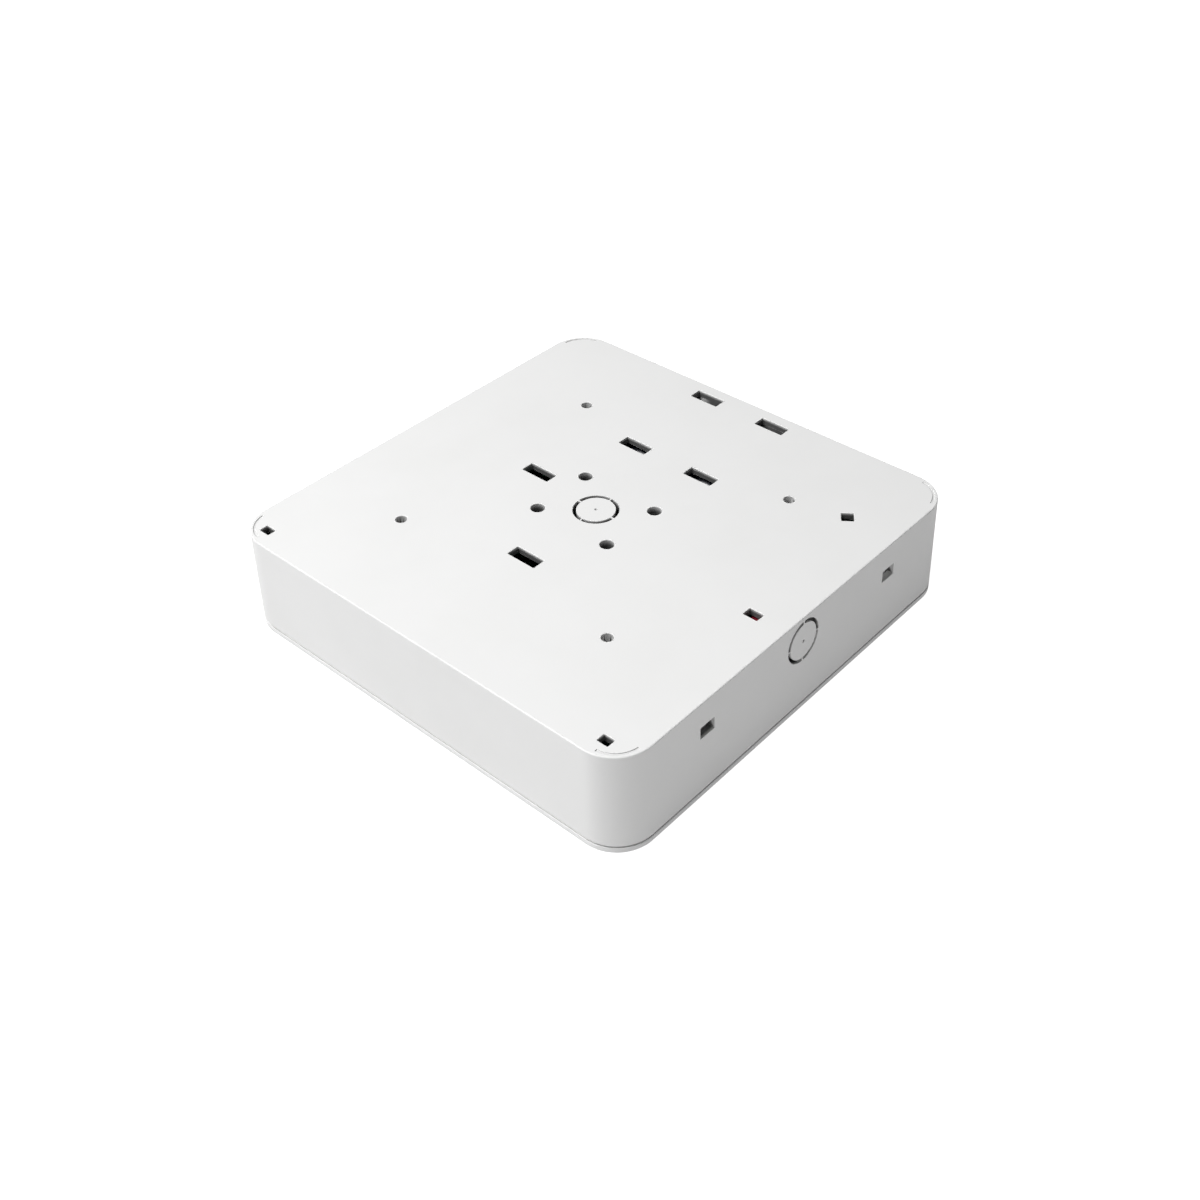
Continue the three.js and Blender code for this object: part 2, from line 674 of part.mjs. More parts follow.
function boardGroup() {
  const group = new THREE.Group();
  group.add(toMesh("main_board", mainBoard(), BOARD_GREEN));
  fourCorners(PILLAR_X, PILLAR_Y).forEach((at, i) => {
    group.add(toMesh(`board_screw_${i + 1}`, boardScrew(at), STEEL));
  });
  group.add(toMesh("ethernet_jack", ethernetJack(), TIN));
  group.add(toMesh("shield_can", shieldCan(), TIN));
  group.add(toMesh("modem_module", modemModule(), TIN));
  group.add(toMesh("sim_holder", simHolder(), STEEL));
  group.add(toMesh("antenna_1", antenna(36).translate([...TOP_ANTENNA, 0]), GOLD));
  group.add(toMesh("antenna_2", antenna(36).rotate([0, 0, 90]).translate([...SIDE_ANTENNA, 0]), GOLD));
  group.add(toMesh("status_led", statusLed(), IVORY));
  group.add(toMesh("buzzer", buzzer(), BLACK));
  group.add(toMesh("coin_cell", coinCell(), STEEL));
  group.add(toMesh("coin_cell_holder", coinCellHolder(), BLACK));
  group.add(toMesh("service_header", serviceHeader(), BLACK));
  group.add(toMesh("tamper_switch", tamperSwitch(), BLACK));
  group.add(toMesh("power_switch", powerSwitch(), STEEL));
  return group;
}

const hub = new THREE.Group();
hub.add(coverGroup());
hub.add(toMesh("rear_housing", rearHousing(), WHITE));
hub.add(boardGroup());
hub.add(powerGroup());
hub.add(toMesh("tamper_plunger", tamperPlunger(), RED));
hub.add(toMesh("power_button", powerButton(), RED));

export default hub;
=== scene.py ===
import math

import bmesh
import bpy
import numpy as np
from mathutils import Matrix, Vector
from mathutils.geometry import delaunay_2d_cdt


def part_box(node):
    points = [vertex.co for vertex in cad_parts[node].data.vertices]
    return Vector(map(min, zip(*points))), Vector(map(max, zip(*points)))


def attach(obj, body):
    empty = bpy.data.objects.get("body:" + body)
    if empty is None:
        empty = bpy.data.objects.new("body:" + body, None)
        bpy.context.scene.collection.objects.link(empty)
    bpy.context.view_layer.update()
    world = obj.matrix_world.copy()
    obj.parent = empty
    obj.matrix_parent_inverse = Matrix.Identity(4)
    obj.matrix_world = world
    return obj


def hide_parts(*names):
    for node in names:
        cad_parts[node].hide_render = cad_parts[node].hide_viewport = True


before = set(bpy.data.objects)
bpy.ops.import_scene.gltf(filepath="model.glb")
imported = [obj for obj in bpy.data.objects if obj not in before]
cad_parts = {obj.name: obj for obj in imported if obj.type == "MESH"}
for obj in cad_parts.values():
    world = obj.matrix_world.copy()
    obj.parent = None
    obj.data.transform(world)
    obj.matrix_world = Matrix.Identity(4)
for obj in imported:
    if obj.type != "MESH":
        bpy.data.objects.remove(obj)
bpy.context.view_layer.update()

MM = 0.001

# ---- Driving dimensions, in millimetres, from the frame where it holds them ----
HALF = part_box("front_cover")[1].x / MM
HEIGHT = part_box("rear_housing")[1].z / MM
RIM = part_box("rear_housing")[0].z / MM
DRAFT = 1.0
CORNER = 13.3
WALL = 2.2
BACK = 2.4
INNER_BACK = HEIGHT - BACK
BOARD_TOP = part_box("main_board")[1].z / MM
BOARD_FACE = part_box("main_board")[0].z / MM
GAP = 0.3
SEAT = BOARD_FACE - GAP
EDGE_ROUND = 0.4
HOLE_ROUND = 0.18
HOLD = 0.15
TOP_HOLD = 0.05
FINE_RIM = (0.1, 0.04)
# Depths are divided by this for the recess attribute, which drives the painted shade in holes and recesses.
RECESS_FULL = 2.4
CORNER_STEPS = 20
ROUND_STEPS = 4

FIXING = 43.3
FIXING_R = 1.85
POST_R = 4.0
POST_END = 29.6
PILLAR_X, PILLAR_Y = 11.25, 14.65
PILLAR_R = 3.8
CORE_R = 2.3
CORE_FLOOR = 30.6
PILOT_R = 1.3
PILOT_END = 29.8
REST = 61.0
REST_R = 2.5
SLOT_W, SLOT_L = 4.6, 11.0
BATTERY_SLOTS_X = (35.3, 73.6)
BATTERY_SLOT_Y = 13.9
BOARD_SLOTS = ((3.3, 27.8), (-31.8, 0.0))
KNOCKOUT_R = 7.45
KNOCKOUT_GROOVE = 1.15
KNOCKOUT_BRIDGE = 0.5
PIP_R = 0.55
PIP_DEPTH = 0.5
SIDE_KNOCKOUT_Z = 27.0
SIDE_GROOVE_DEPTH = 1.9
SNAP_X, SNAP_Z = 44.4, 25.1
SNAP_WINDOW = (6.2, 4.1)
ARC_CENTRE = 69.2
ARC_R = 9.6
ARC_WIDTH = 0.8
ARC_DEPTH = 0.3
ARC_HALF_SPAN = math.radians(38)
BATTERY_X = 54.45
BATTERY_L = 66.0
SIGNS = (-1, 1)
ROOT = 0.5  # fillet where a post meets the plate
TIP = 0.15  # bevel round a post's end
MOUTH = 0.2  # bevel round a hole's mouth
BATTERY_HOOK = (19.8, 3.2, 5.4)  # the catch's height, its reach and the drop of its nose
BOARD_HOOK = (SEAT, 2.4, 2.8)
HOOK_THICK, HOOK_WIDTH = 1.6, 10.0
STOP_WIDTH, STOP_THICK, STOP_DEEP = 12.0, 1.6, 8.0
SMALL_WINDOWS = ((3.0, 4.1, -74.2, 71.0, 0), (3.0, 3.8, -73.9, -70.0, 0), (3.4, 5.0, -8.6, -68.6, 0),
                 (4.1, 4.0, 47.5, -62.6, 37))


def four_corners(x, y):
    """The four places at plus and minus x and y."""
    return [(i * x, j * y) for i in SIGNS for j in SIGNS]


# ---- Surfaces: loops of points joined by strips, and flat faces between loops ----
class Surface:
    """Points and faces gathered as whole arrays, in millimetres, then put into one mesh in metres."""

    def __init__(self):
        self.points = []
        self.faces = []
        # Each point's depth below its face, kept for the painted shade in recesses.
        self.depths = []
        self.count = 0

    def add(self, points, faces, depth=0.0):
        self.points.append(np.asarray(points, float))
        self.depths.append(np.broadcast_to(depth, len(points)))
        self.faces += (np.asarray(faces) + self.count).tolist()
        self.count += len(points)

    def strip(self, loops, keep=None, depths=None):
        """Face (i, j) joins points j and j + 1 of loop i to the same points of loop i + 1; depths is one
        per loop, how far below the face each loop lies, which sets the painted shade in recesses."""
        rows, n = len(loops), len(loops[0])
        i, j = np.meshgrid(np.arange(rows - 1), np.arange(n), indexing="ij")
        after = (j + 1) % n
        quads = np.stack([i * n + j, i * n + after, (i + 1) * n + after, (i + 1) * n + j], -1).reshape(-1, 4)
        if keep is not None:
            quads = quads[np.tile(keep, rows - 1)]
        self.add(np.concatenate(loops), quads, 0.0 if depths is None else np.repeat(depths, n))

    def flat(self, outer, holes, place, depth=0.0):
        """Constrained triangles between an outer loop and hole loops, all in a plane; place puts (u, v)
        into space, and depth sets the face's painted shade."""
        loops = [np.asarray(outer)[:, :2]] + [np.asarray(h)[:, :2] for h in holes]
        edges, start = [], 0
        for loop in loops:
            k = np.arange(len(loop))
            edges += np.stack([k, (k + 1) % len(loop)], 1).__add__(start).tolist()
            start += len(loop)
        flat_points = [Vector(p) for p in np.concatenate(loops)]
        found = delaunay_2d_cdt(flat_points, edges, [], 1, 1e-6)
        uv = np.array([tuple(p) for p in found[0]])
        triangles = np.array(found[2])
        middles = uv[triangles].mean(1)
        kept = ~np.any([inside(middles, loop) for loop in loops[1:]], axis=0) if holes else slice(None)
        self.add(place(uv), triangles[kept], depth)

    def cap(self, loop, depth=0.0):
        """A flat face that closes a level loop; depth sets its painted shade."""
        self.flat(loop, [], on_level(loop[0, 2]), depth)

    def build(self, name, sharp=40):
        """One closed mesh: shared points merged, faces turned outwards, edges over the sharp angle kept
        crisp."""
        mesh = bpy.data.meshes.new(name)
        mesh.from_pydata(np.concatenate(self.points) * MM, [], self.faces)
        # recess: each point's depth below its face, scaled to 0..1, which the shell material turns into painted
        # shade in holes, slots and grooves.
        recess = mesh.attributes.new("recess", "FLOAT", "POINT")
        recess.data.foreach_set("value", np.clip(np.concatenate(self.depths) / RECESS_FULL, 0, 1))
        return finished(mesh, name, sharp)


def finished(mesh, name, sharp=40):
    """Merges shared points, turns faces outwards, and shades smoothly up to the sharp angle."""
    shape = bmesh.new()
    shape.from_mesh(mesh)
    bmesh.ops.remove_doubles(shape, verts=shape.verts, dist=1e-7)
    bmesh.ops.recalc_face_normals(shape, faces=shape.faces)
    shape.to_mesh(mesh)
    shape.free()
    mesh.shade_smooth()
    mesh.set_sharp_from_angle(angle=math.radians(sharp))
    piece = bpy.data.objects.new(name, mesh)
    bpy.context.scene.collection.objects.link(piece)
    return piece


def inside(points, loop):
    """True for each point that a ray towards +x leaves by an odd number of the loop's edges."""
    a, b = loop, np.roll(loop, -1, 0)
    px, py = points[:, :1], points[:, 1:]
    spans = (a[:, 1] > py) != (b[:, 1] > py)
    rise = np.where(b[:, 1] == a[:, 1], 1.0, b[:, 1] - a[:, 1])
    at = a[:, 0] + (py - a[:, 1]) / rise * (b[:, 0] - a[:, 0])
    return (spans & (px < at)).sum(1) % 2 == 1


def on_level(z):
    """Puts (x, y) points on the level z."""
    return lambda uv: np.column_stack([uv, np.full(len(uv), z)])


def circle(radius, steps=40):
    """Radius times (cos t, sin t), for equal steps of t round a full turn."""
    t = np.linspace(0, 2 * math.pi, steps, endpoint=False)
    return np.column_stack([radius * np.cos(t), radius * np.sin(t)])


def rounded_rectangle(half_x, half_y, radius, steps=6):
    """Four quarter circles of the radius whose centres are the rectangle's corners moved in by it."""
    t = np.linspace(0, math.pi / 2, steps + 1)
    quarters = [(1, 1, 0), (-1, 1, 1), (-1, -1, 2), (1, -1, 3)]
    loops = [
        np.column_stack([
            i * (half_x - radius) + radius * np.cos(t + k * math.pi / 2),
            j * (half_y - radius) + radius * np.sin(t + k * math.pi / 2),
        ]) for i, j, k in quarters
    ]
    return np.concatenate(loops)


def ring_sector(inner, outer, start, end, grow=0.0, steps=14):
    """Outer arc forwards, then inner arc backwards; grow widens it by that much on every side."""
    middle = (inner + outer) / 2
    a = np.linspace(start - grow / middle, end + grow / middle, steps + 1)
    out = np.column_stack([np.cos(a), np.sin(a)]) * (outer + grow)
    back = np.column_stack([np.cos(a[::-1]), np.sin(a[::-1])]) * (inner - grow)
    return np.concatenate([out, back])


def rim_profile(r=HOLE_ROUND, hold=HOLD):
    """A hole's rounded edge, as how far the loop grows at each depth below the face it opens in.

    A quarter circle of radius r: grow = r (1 - sin t), depth = r (1 - cos t), held by a loop before and after it.
    """
    t = np.linspace(0, math.pi / 2, ROUND_STEPS + 1)
    curve = list(zip(r * (1 - np.sin(t)), r * (1 - np.cos(t))))
    return [(r + hold, 0.0)] + curve + [(0.0, r + hold)]


def lean(z):
    """How much the sides have drawn in at a height: 1 at the bottom, less by the draft over the half width
    at the top."""
    return 1 - DRAFT * z / (HALF * HEIGHT)


def outline(inset, z):
    """The housing's rounded square at a height: every side moves in by the inset, and leans in with the
    draft."""
    half, radius = HALF - inset, max(CORNER - inset, 0.5)
    flat = rounded_rectangle(half, half, radius, CORNER_STEPS) * lean(z)
    return np.column_stack([flat, np.full(len(flat), z)])


CABLE_SIDE = 3 * (CORNER_STEPS
                  + 1) - 1  # the outline's straight stretch on the cable side starts at this point


# ---- Rear housing ----
class Hole:
    """A hole in the wall-side plate: its outline as a function of how far it is widened."""

    def __init__(self, shape, x, y, turn=0.0, rim=(HOLE_ROUND, HOLD)):
        self.shape, self.middle, self.turn, self.rim = shape, np.array([x, y]), turn, rim

    def loop(self, grow, z):
        c, s = math.cos(self.turn), math.sin(self.turn)
        uv = self.shape(grow) @ np.array([[c, s], [-s, c]]) + self.middle
        return np.column_stack([uv, np.full(len(uv), z)])


def round_hole(radius, x, y):
    """A circle, whose radius grows."""
    return Hole(lambda grow: circle(radius + grow), x, y)


def square_hole(width, depth, x, y, turn=0.0):
    """A rectangle with small round corners, whose sides and corners grow together."""
    corner = 0.25
    shape = lambda grow: rounded_rectangle(width / 2 + grow, depth / 2 + grow, corner + grow)
    return Hole(shape, x, y, turn)


def sector_hole(inner, outer, start, end, x=0.0, y=0.0):
    """A stretch of ring between two angles, with a fine edge."""
    return Hole(lambda grow: ring_sector(inner, outer, start, end, grow), x, y, rim=FINE_RIM)


def knockout_holes():
    """Four arcs that leave four bridges at the quarter turns."""
    bridge = KNOCKOUT_BRIDGE / 2 / KNOCKOUT_R
    quarter = math.pi / 2
    inner = KNOCKOUT_R - KNOCKOUT_GROOVE
    return [sector_hole(inner, KNOCKOUT_R, i * quarter + bridge, (i + 1) * quarter - bridge)
            for i in range(4)]


def through_holes():
    """Every opening that goes straight through the back: hook slots, small windows and the knockout."""
    slots = [(x, sign * BATTERY_SLOT_Y) for x in BATTERY_SLOTS_X for sign in SIGNS] + list(BOARD_SLOTS)
    windows = [square_hole(*sizes, math.radians(turn)) for *sizes, turn in SMALL_WINDOWS]
    return [square_hole(SLOT_W, SLOT_L, x, y) for x, y in slots] + windows + knockout_holes()


def top_rim(hole):
    """The loops from the wall-side face down over the hole's rounded edge."""
    return [hole.loop(grow, HEIGHT - down) for grow, down in rim_profile(*hole.rim)]


def below_top(loops):
    """How far each loop lies below the wall-side face, which sets the painted shade on hole walls."""
    return [HEIGHT - loop[0, 2] for loop in loops]


def open_through(surface, hole):
    """The walls of an opening from one face of the back to the other, as a stack of its loops."""
    loops = top_rim(hole) + [hole.loop(0, INNER_BACK + HOLD), hole.loop(0, INNER_BACK)]
    # The opening's walls are painted darker with depth, as shade.
    surface.strip(loops, depths=below_top(loops))
    return loops[0], loops[-1]


def stand(surface, hole, grow, end, inner=None, inner_end=None):
    """A post under the plate: down its side, across its end, and up its middle hole where it has one."""
    t = np.linspace(0, math.pi / 2, ROUND_STEPS + 1)
    foot = [hole.loop(grow + ROOT * (1 - math.sin(a)), INNER_BACK - ROOT * (1 - math.cos(a))) for a in t]
    loops = foot + [hole.loop(grow, end + 2 * TIP), hole.loop(grow, end + TIP), hole.loop(grow - TIP, end)]
    if inner is not None:
        loops += [hole.loop(inner + MOUTH, end), hole.loop(inner, end + MOUTH), hole.loop(inner, inner_end)]
    surface.strip(loops)
    return foot[0]


def pillar(surface, x, y):
    """A cored pillar: blind from the wall side, with a screw hole from the board side."""
    hole = round_hole(0.0, x, y)
    top = [hole.loop(CORE_R + grow, HEIGHT - down) for grow, down in rim_profile()]
    top += [hole.loop(CORE_R, CORE_FLOOR + 0.3), hole.loop(CORE_R - 0.3, CORE_FLOOR)]
    # The core's walls are painted darker with depth, and its floor is painted in full shade.
    surface.strip(top, depths=below_top(top))
    surface.cap(top[-1], RECESS_FULL)
    foot = stand(surface, hole, PILLAR_R, BOARD_TOP + GAP, PILOT_R, PILOT_END)
    surface.cap(hole.loop(PILOT_R, PILOT_END))
    return top[0], foot


def fixing_post(surface, x, y):
    """A wall-fixing hole that runs through its post."""
    hole = round_hole(0.0, x, y)
    top = [hole.loop(FIXING_R + grow, HEIGHT - down) for grow, down in rim_profile()]
    top += [hole.loop(FIXING_R, POST_END + MOUTH)]
    surface.strip(top, depths=below_top(top))
    foot = stand(surface, hole, POST_R, POST_END, FIXING_R, POST_END + MOUTH)
    return top[0], foot


def rest_post(surface, x, y):
    """A plain post that the board rests against."""
    hole = round_hole(0.0, x, y)
    foot = stand(surface, hole, REST_R, BOARD_TOP + GAP)
    surface.cap(hole.loop(REST_R - TIP, BOARD_TOP + GAP))
    return foot


def corner_groove(surface, x, y):
    """A shallow arc around the corner: rounded edges, straight sides and a flat floor."""
    middle = math.atan2(y, x)
    hole = sector_hole(ARC_R - ARC_WIDTH, ARC_R, middle - ARC_HALF_SPAN, middle + ARC_HALF_SPAN, x, y)
    loops = [hole.loop(grow, HEIGHT - down) for grow, down in rim_profile(0.08, 0.02)[:-1]]
    loops += [hole.loop(0, HEIGHT - ARC_DEPTH)]
    # The groove's walls and floor are painted a little darker with depth, as shade.
    surface.strip(loops, depths=below_top(loops))
    surface.cap(loops[-1], ARC_DEPTH)
    return loops[0]


def pip(surface):
    """The dimple in the middle of the wall-side knockout: radius r sin t at depth d cos t."""
    hole = round_hole(0.0, 0, 0)
    t = np.linspace(math.pi / 2, 0.3, 6)
    loops = [hole.loop(PIP_R + 0.12, HEIGHT)] + [
        hole.loop(PIP_R * math.sin(a), HEIGHT - PIP_DEPTH * math.cos(a)) for a in t
    ]
    # Painted shade, twice as strong as the depth gives, darkens the dimple.
    surface.strip(loops, depths=np.multiply(below_top(loops), 2.0))
    surface.cap(loops[-1], PIP_DEPTH * 2)
    return loops[0]


def box_loop(x0, x1, y0, y1, z):
    """A rectangle on the level z."""
    return np.array([[x1, y1, z], [x0, y1, z], [x0, y0, z], [x1, y0, z]], float)


def hook(surface, slot_x, y, side, catch, reach, drop):
    """A sprung hook as a stack of rectangles: an arm, a flat catch, a short nose and a sloping lead-in."""
    edge = slot_x - side * (SLOT_W / 2 + 0.05)

    def level(out, z):
        x = sorted([edge - side * HOOK_THICK, edge + side * out])
        return box_loop(x[0], x[1], y - HOOK_WIDTH / 2, y + HOOK_WIDTH / 2, z)

    loops = [
        level(0.0, INNER_BACK), level(0.0, catch), level(reach, catch),
        level(reach, catch - 2 * GAP), level(0.0, catch - drop),
    ]
    # The arm and the catch are painted in full shade, fading over the nose, so they read dark through the slots.
    surface.strip(loops, depths=[RECESS_FULL, RECESS_FULL, RECESS_FULL, 0.0, 0.0])
    surface.cap(loops[-1])
    return loops[0]


def battery_stop(surface, sign):
    """A wall at the battery's end, as two rectangles joined by a strip."""
    near = BATTERY_L / 2 + GAP
    y = sorted([sign * near, sign * (near + STOP_THICK)])
    x = (BATTERY_X - STOP_WIDTH / 2, BATTERY_X + STOP_WIDTH / 2)
    loops = [box_loop(*x, *y, z) for z in (INNER_BACK, INNER_BACK - STOP_DEEP)]
    surface.strip(loops)
    surface.cap(loops[1])
    return loops[0]


def side_cuts():
    """What is cut into the cable side, as outlines in x and z, each with its depth, or None where it goes
    through."""
    cuts = [
        (lambda grow, x=sign * SNAP_X: rounded_rectangle(
            SNAP_WINDOW[0] / 2 + grow, SNAP_WINDOW[1] / 2 + grow, 0.25 + grow) + [x, SNAP_Z], None,
            (HOLE_ROUND, HOLD))
        for sign in SIGNS
    ]
    for k, hole in enumerate(knockout_holes()):
        depth = SIDE_GROOVE_DEPTH if k < 2 else None
        cuts.append((lambda grow, hole=hole: hole.shape(grow) + [0, SIDE_KNOCKOUT_Z], depth, FINE_RIM))
    return cuts


def side_point(uv, sink, inset=0.0):
    """Puts (x, z) on the cable side's plane, which leans with the draft, and moves it inwards by sink."""
    x, z = uv[:, 0], uv[:, 1]
    return np.column_stack([x, -(HALF - inset) * (1 - DRAFT * z / (HALF * HEIGHT)) + sink, z])


def side_panel(low, high):
    """Corners, in x and z, of the flat stretch of the cable side between two heights."""
    flat = HALF - CORNER
    return np.array([[flat * lean(low), low], [flat * lean(high), high], [-flat * lean(high), high],
                     [-flat * lean(low), low]])


def side_pip(surface):
    """The same dimple in the side knockout: radius r sin t at depth d cos t, on the leaning plane."""
    t = np.linspace(math.pi / 2, 0.3, 6)
    at = np.array([0.0, SIDE_KNOCKOUT_Z])
    rings = [side_point(circle(PIP_R + 0.12) + at, 0.0)] + [
        side_point(circle(PIP_R * math.sin(a)) + at, PIP_DEPTH * math.cos(a)) for a in t
    ]
    # Painted shade, twice as strong as the depth gives, darkens the side dimple.
    surface.strip(rings, depths=[0.0] + [PIP_DEPTH * 2 * math.cos(a) for a in t])
    bottom = PIP_R * math.sin(t[-1])
    surface.flat(circle(bottom) + at, [], lambda uv: side_point(uv, PIP_DEPTH * math.cos(t[-1])),
                 PIP_DEPTH * 2)
    return circle(PIP_R + 0.12) + at


def cable_side(surface, outer_low, outer_high, inner_low, inner_high):
    """The cable side's outer and inner faces, and the walls of what is cut through them."""
    outer_holes, inner_holes = [side_pip(surface)], []
    for shape, depth, rim in side_cuts():
        profile = rim_profile(*rim)
        loops = [side_point(shape(grow), down) for grow, down in profile]
        # The sinks also serve as depths, so the cuts' walls and floors are painted darker with depth, as shade.
        sinks = [down for _, down in profile] + [depth or WALL]
        outer_holes.append(shape(sum(rim)))
        if depth is None:
            surface.strip(loops + [side_point(shape(0.0), 0.0, WALL)], depths=sinks)
            inner_holes.append(shape(0.0))
        else:
            surface.strip(loops + [side_point(shape(0.0), depth)], depths=sinks)
            surface.flat(shape(0.0), [], lambda uv: side_point(uv, depth), depth)
    surface.flat(side_panel(outer_low, outer_high), outer_holes, lambda uv: side_point(uv, 0.0))
    surface.flat(side_panel(inner_low, inner_high), inner_holes, lambda uv: side_point(uv, 0.0, WALL))


def eased(inset, z, r, way, steps):
    """Quarter circle from an upright side to a level face: in by r (1 - cos a), and up or down by r sin a."""
    return [(inset + r - r * math.cos(a), z + way * r * math.sin(a))
            for a in np.linspace(0, math.pi / 2, steps)]


def rear_housing():
    """The tray: its outline carried up outside and down inside, closed by two flat faces with their holes."""
    surface = Surface()
    e, foot, lip = EDGE_ROUND, 0.4, 0.35
    outer_low, outer_high = RIM + lip + HOLD, HEIGHT - e - HOLD
    upper = [(0, outer_high)] + eased(0, HEIGHT - e, e, 1, 7) + [(e + TOP_HOLD, HEIGHT)]
    inner_low, inner_high = RIM + MOUTH, INNER_BACK - foot - HOLD
    lower = [(0, outer_low)] + eased(0, RIM + lip, lip, -1, 5)
    lower += [(lip + HOLD, RIM), (WALL - MOUTH, RIM), (WALL, inner_low)]
    under = [(WALL, inner_high)] + eased(WALL, INNER_BACK - foot, foot, 1,
                                         6) + [(WALL + foot + HOLD, INNER_BACK)]
    keep = np.arange(4 * (CORNER_STEPS + 1)) != CABLE_SIDE
    surface.strip([outline(i, z) for i, z in upper])
    surface.strip([outline(0, outer_low), outline(0, outer_high)], keep)
    surface.strip([outline(i, z) for i, z in lower])
    surface.strip([outline(WALL, inner_low), outline(WALL, inner_high)], keep)
    surface.strip([outline(i, z) for i, z in under])
    cable_side(surface, outer_low, outer_high, inner_low, inner_high)
    top_holes, inner_holes = [pip(surface)], []
    for hole in through_holes():
        above, below = open_through(surface, hole)
        top_holes.append(above)
        inner_holes.append(below)
    for make, places in ((pillar, four_corners(PILLAR_X, PILLAR_Y)),
                         (fixing_post, four_corners(FIXING, FIXING))):
        for x, y in places:
            above, below = make(surface, x, y)
            top_holes.append(above)
            inner_holes.append(below)
    inner_holes += [rest_post(surface, x, y) for x, y in four_corners(REST, REST)]
    top_holes += [corner_groove(surface, x, y) for x, y in four_corners(ARC_CENTRE, ARC_CENTRE)]
    for sign in SIGNS:
        for x, side in zip(BATTERY_SLOTS_X, (1, -1)):
            inner_holes.append(hook(surface, x, sign * BATTERY_SLOT_Y, side, *BATTERY_HOOK))
        inner_holes.append(battery_stop(surface, sign))
    inner_holes += [hook(surface, x, y, 1, *BOARD_HOOK) for x, y in BOARD_SLOTS]
    surface.flat(outline(e + TOP_HOLD, HEIGHT), top_holes, on_level(HEIGHT))
    surface.flat(outline(WALL + foot + HOLD, INNER_BACK), inner_holes, on_level(INNER_BACK))
    return surface.build("rear_housing_shell")


# ---- Shared makers for blocks, turned shapes and fused pieces ----
def rounded_levels(low, high, r):
    """How far a loop grows at each level: a quarter circle of radius r at either end, straight between."""
    t = np.linspace(0, math.pi / 2, ROUND_STEPS + 1)
    lower = list(zip(-r * (1 - np.sin(t)), low + r * (1 - np.cos(t))))
    upper = list(zip(-r * (1 - np.cos(t)), high - r * (1 - np.sin(t))))
    return lower + upper


def add_solid(surface, hole, low, high, r):
    """A closed upright body with the hole's outline, rounded at its ends."""
    loops = [hole.loop(grow, z) for grow, z in rounded_levels(low, high, r)]
    surface.strip(loops)
    surface.cap(loops[0])
    surface.cap(loops[-1])


def add_block(surface, size, middle, low, r, corner):
    """A rounded rectangle carried straight up, with its ends rounded by r."""
    shape = lambda grow: rounded_rectangle(size[0] / 2 + grow, size[1] / 2 + grow, max(corner + grow, 0.02),
                                           3)
    add_solid(surface, Hole(shape, *middle), low, low + size[2], r)


def add_turned(surface, profile, x, y, steps=32):
    """A profile of (radius, height) carried round an upright axis, closed by a flat disc at either end."""
    loops = [np.column_stack([circle(r, steps) + [x, y], np.full(steps, z)]) for r, z in profile]
    surface.strip(loops)
    surface.cap(loops[0])
    surface.cap(loops[-1])


def made_block(size, middle, low, r, corner=0.2):
    """One block as a piece of its own, to be joined with another."""
    surface = Surface()
    add_block(surface, size, middle, low, r, corner)
    return surface.build("block")


def fused(name, first, kind, others, sharp=40):
    """The first piece joined with, or cut by, every other, as one closed mesh."""
    group = bpy.data.collections.new(name + "_tools")
    for other in others:
        group.objects.link(other)
    change = first.modifiers.new("fuse", "BOOLEAN")
    change.operation, change.operand_type, change.solver = kind, "COLLECTION", "EXACT"
    change.collection = group
    bpy.context.view_layer.update()
    mesh = bpy.data.meshes.new_from_object(first.evaluated_get(bpy.context.evaluated_depsgraph_get()))
    for used in list(others) + [first]:
        bpy.data.objects.remove(used)
    bpy.data.collections.remove(group)
    return finished(mesh, name, sharp)


# ---- Front cover ----
COVER = 2.0
COVER_EDGE = 0.5
LIP_INSET = WALL + 0.6
LIP_THICK = 1.4
LIP_TOP = 7.0
ARM_WIDTH, ARM_THICK, ARM_TOP, ARM_FACE = 5.6, 1.6, 27.6, 78.2
TAB_TOP = 12.0
LED_Y = 62.0
GUIDE_R, FLANGE_R, BOSS_WALL, BOSS_TOP = 3.0, 4.2, 1.6, 6.0
RIB, RIB_TOP, RIB_AT = 1.2, 2.9, (-40, 0, 40)
SUNK = 1.0


def cover_plate():
    """The plate, its rounded rim and the lip inside it, as one profile carried round the rounded square."""
    surface = Surface()
    t = np.linspace(0, math.pi / 2, 7)
    e, lip = COVER_EDGE, 0.3
    face = [(e + TOP_HOLD, 0.0)] + list(zip(e * (1 - np.sin(t)), e * (1 - np.cos(t))))
    rim = list(zip(0.1 * (1 - np.cos(t)), COVER - 0.1 * (1 - np.sin(t))))
    inner = LIP_INSET + LIP_THICK
    wall = [(LIP_INSET - lip, COVER), (LIP_INSET, COVER + lip), (LIP_INSET, LIP_TOP - lip),
            (LIP_INSET + lip, LIP_TOP)]
    back = [(inner - lip, LIP_TOP), (inner, LIP_TOP - lip), (inner, COVER + lip), (inner + lip, COVER)]
    loops = [outline(inset, z) for inset, z in face + rim + wall + back]
    surface.strip(loops)
    surface.cap(loops[0])
    surface.cap(loops[-1])
    return surface.build("plate")


def cover_boss():
    """The ring round the light guide and the stepped bore through it, as two turned profiles."""
    outer, inner = FLANGE_R + BOSS_WALL, FLANGE_R + GAP
    surface = Surface()
    profile = [(outer, SUNK), (outer, BOSS_TOP - 0.3), (outer - 0.3, BOSS_TOP)]
    add_turned(surface, profile, 0, LED_Y, 48)
    bore = Surface()
    add_turned(bore, [(GUIDE_R + GAP + 0.3, -SUNK), (GUIDE_R + GAP + 0.3, 0), (GUIDE_R + GAP, 0.3),
                      (GUIDE_R + GAP, COVER),
                      (inner, COVER), (inner, BOSS_TOP + SUNK)], 0, LED_Y, 48)
    return surface.build("boss"), bore.build("bore")


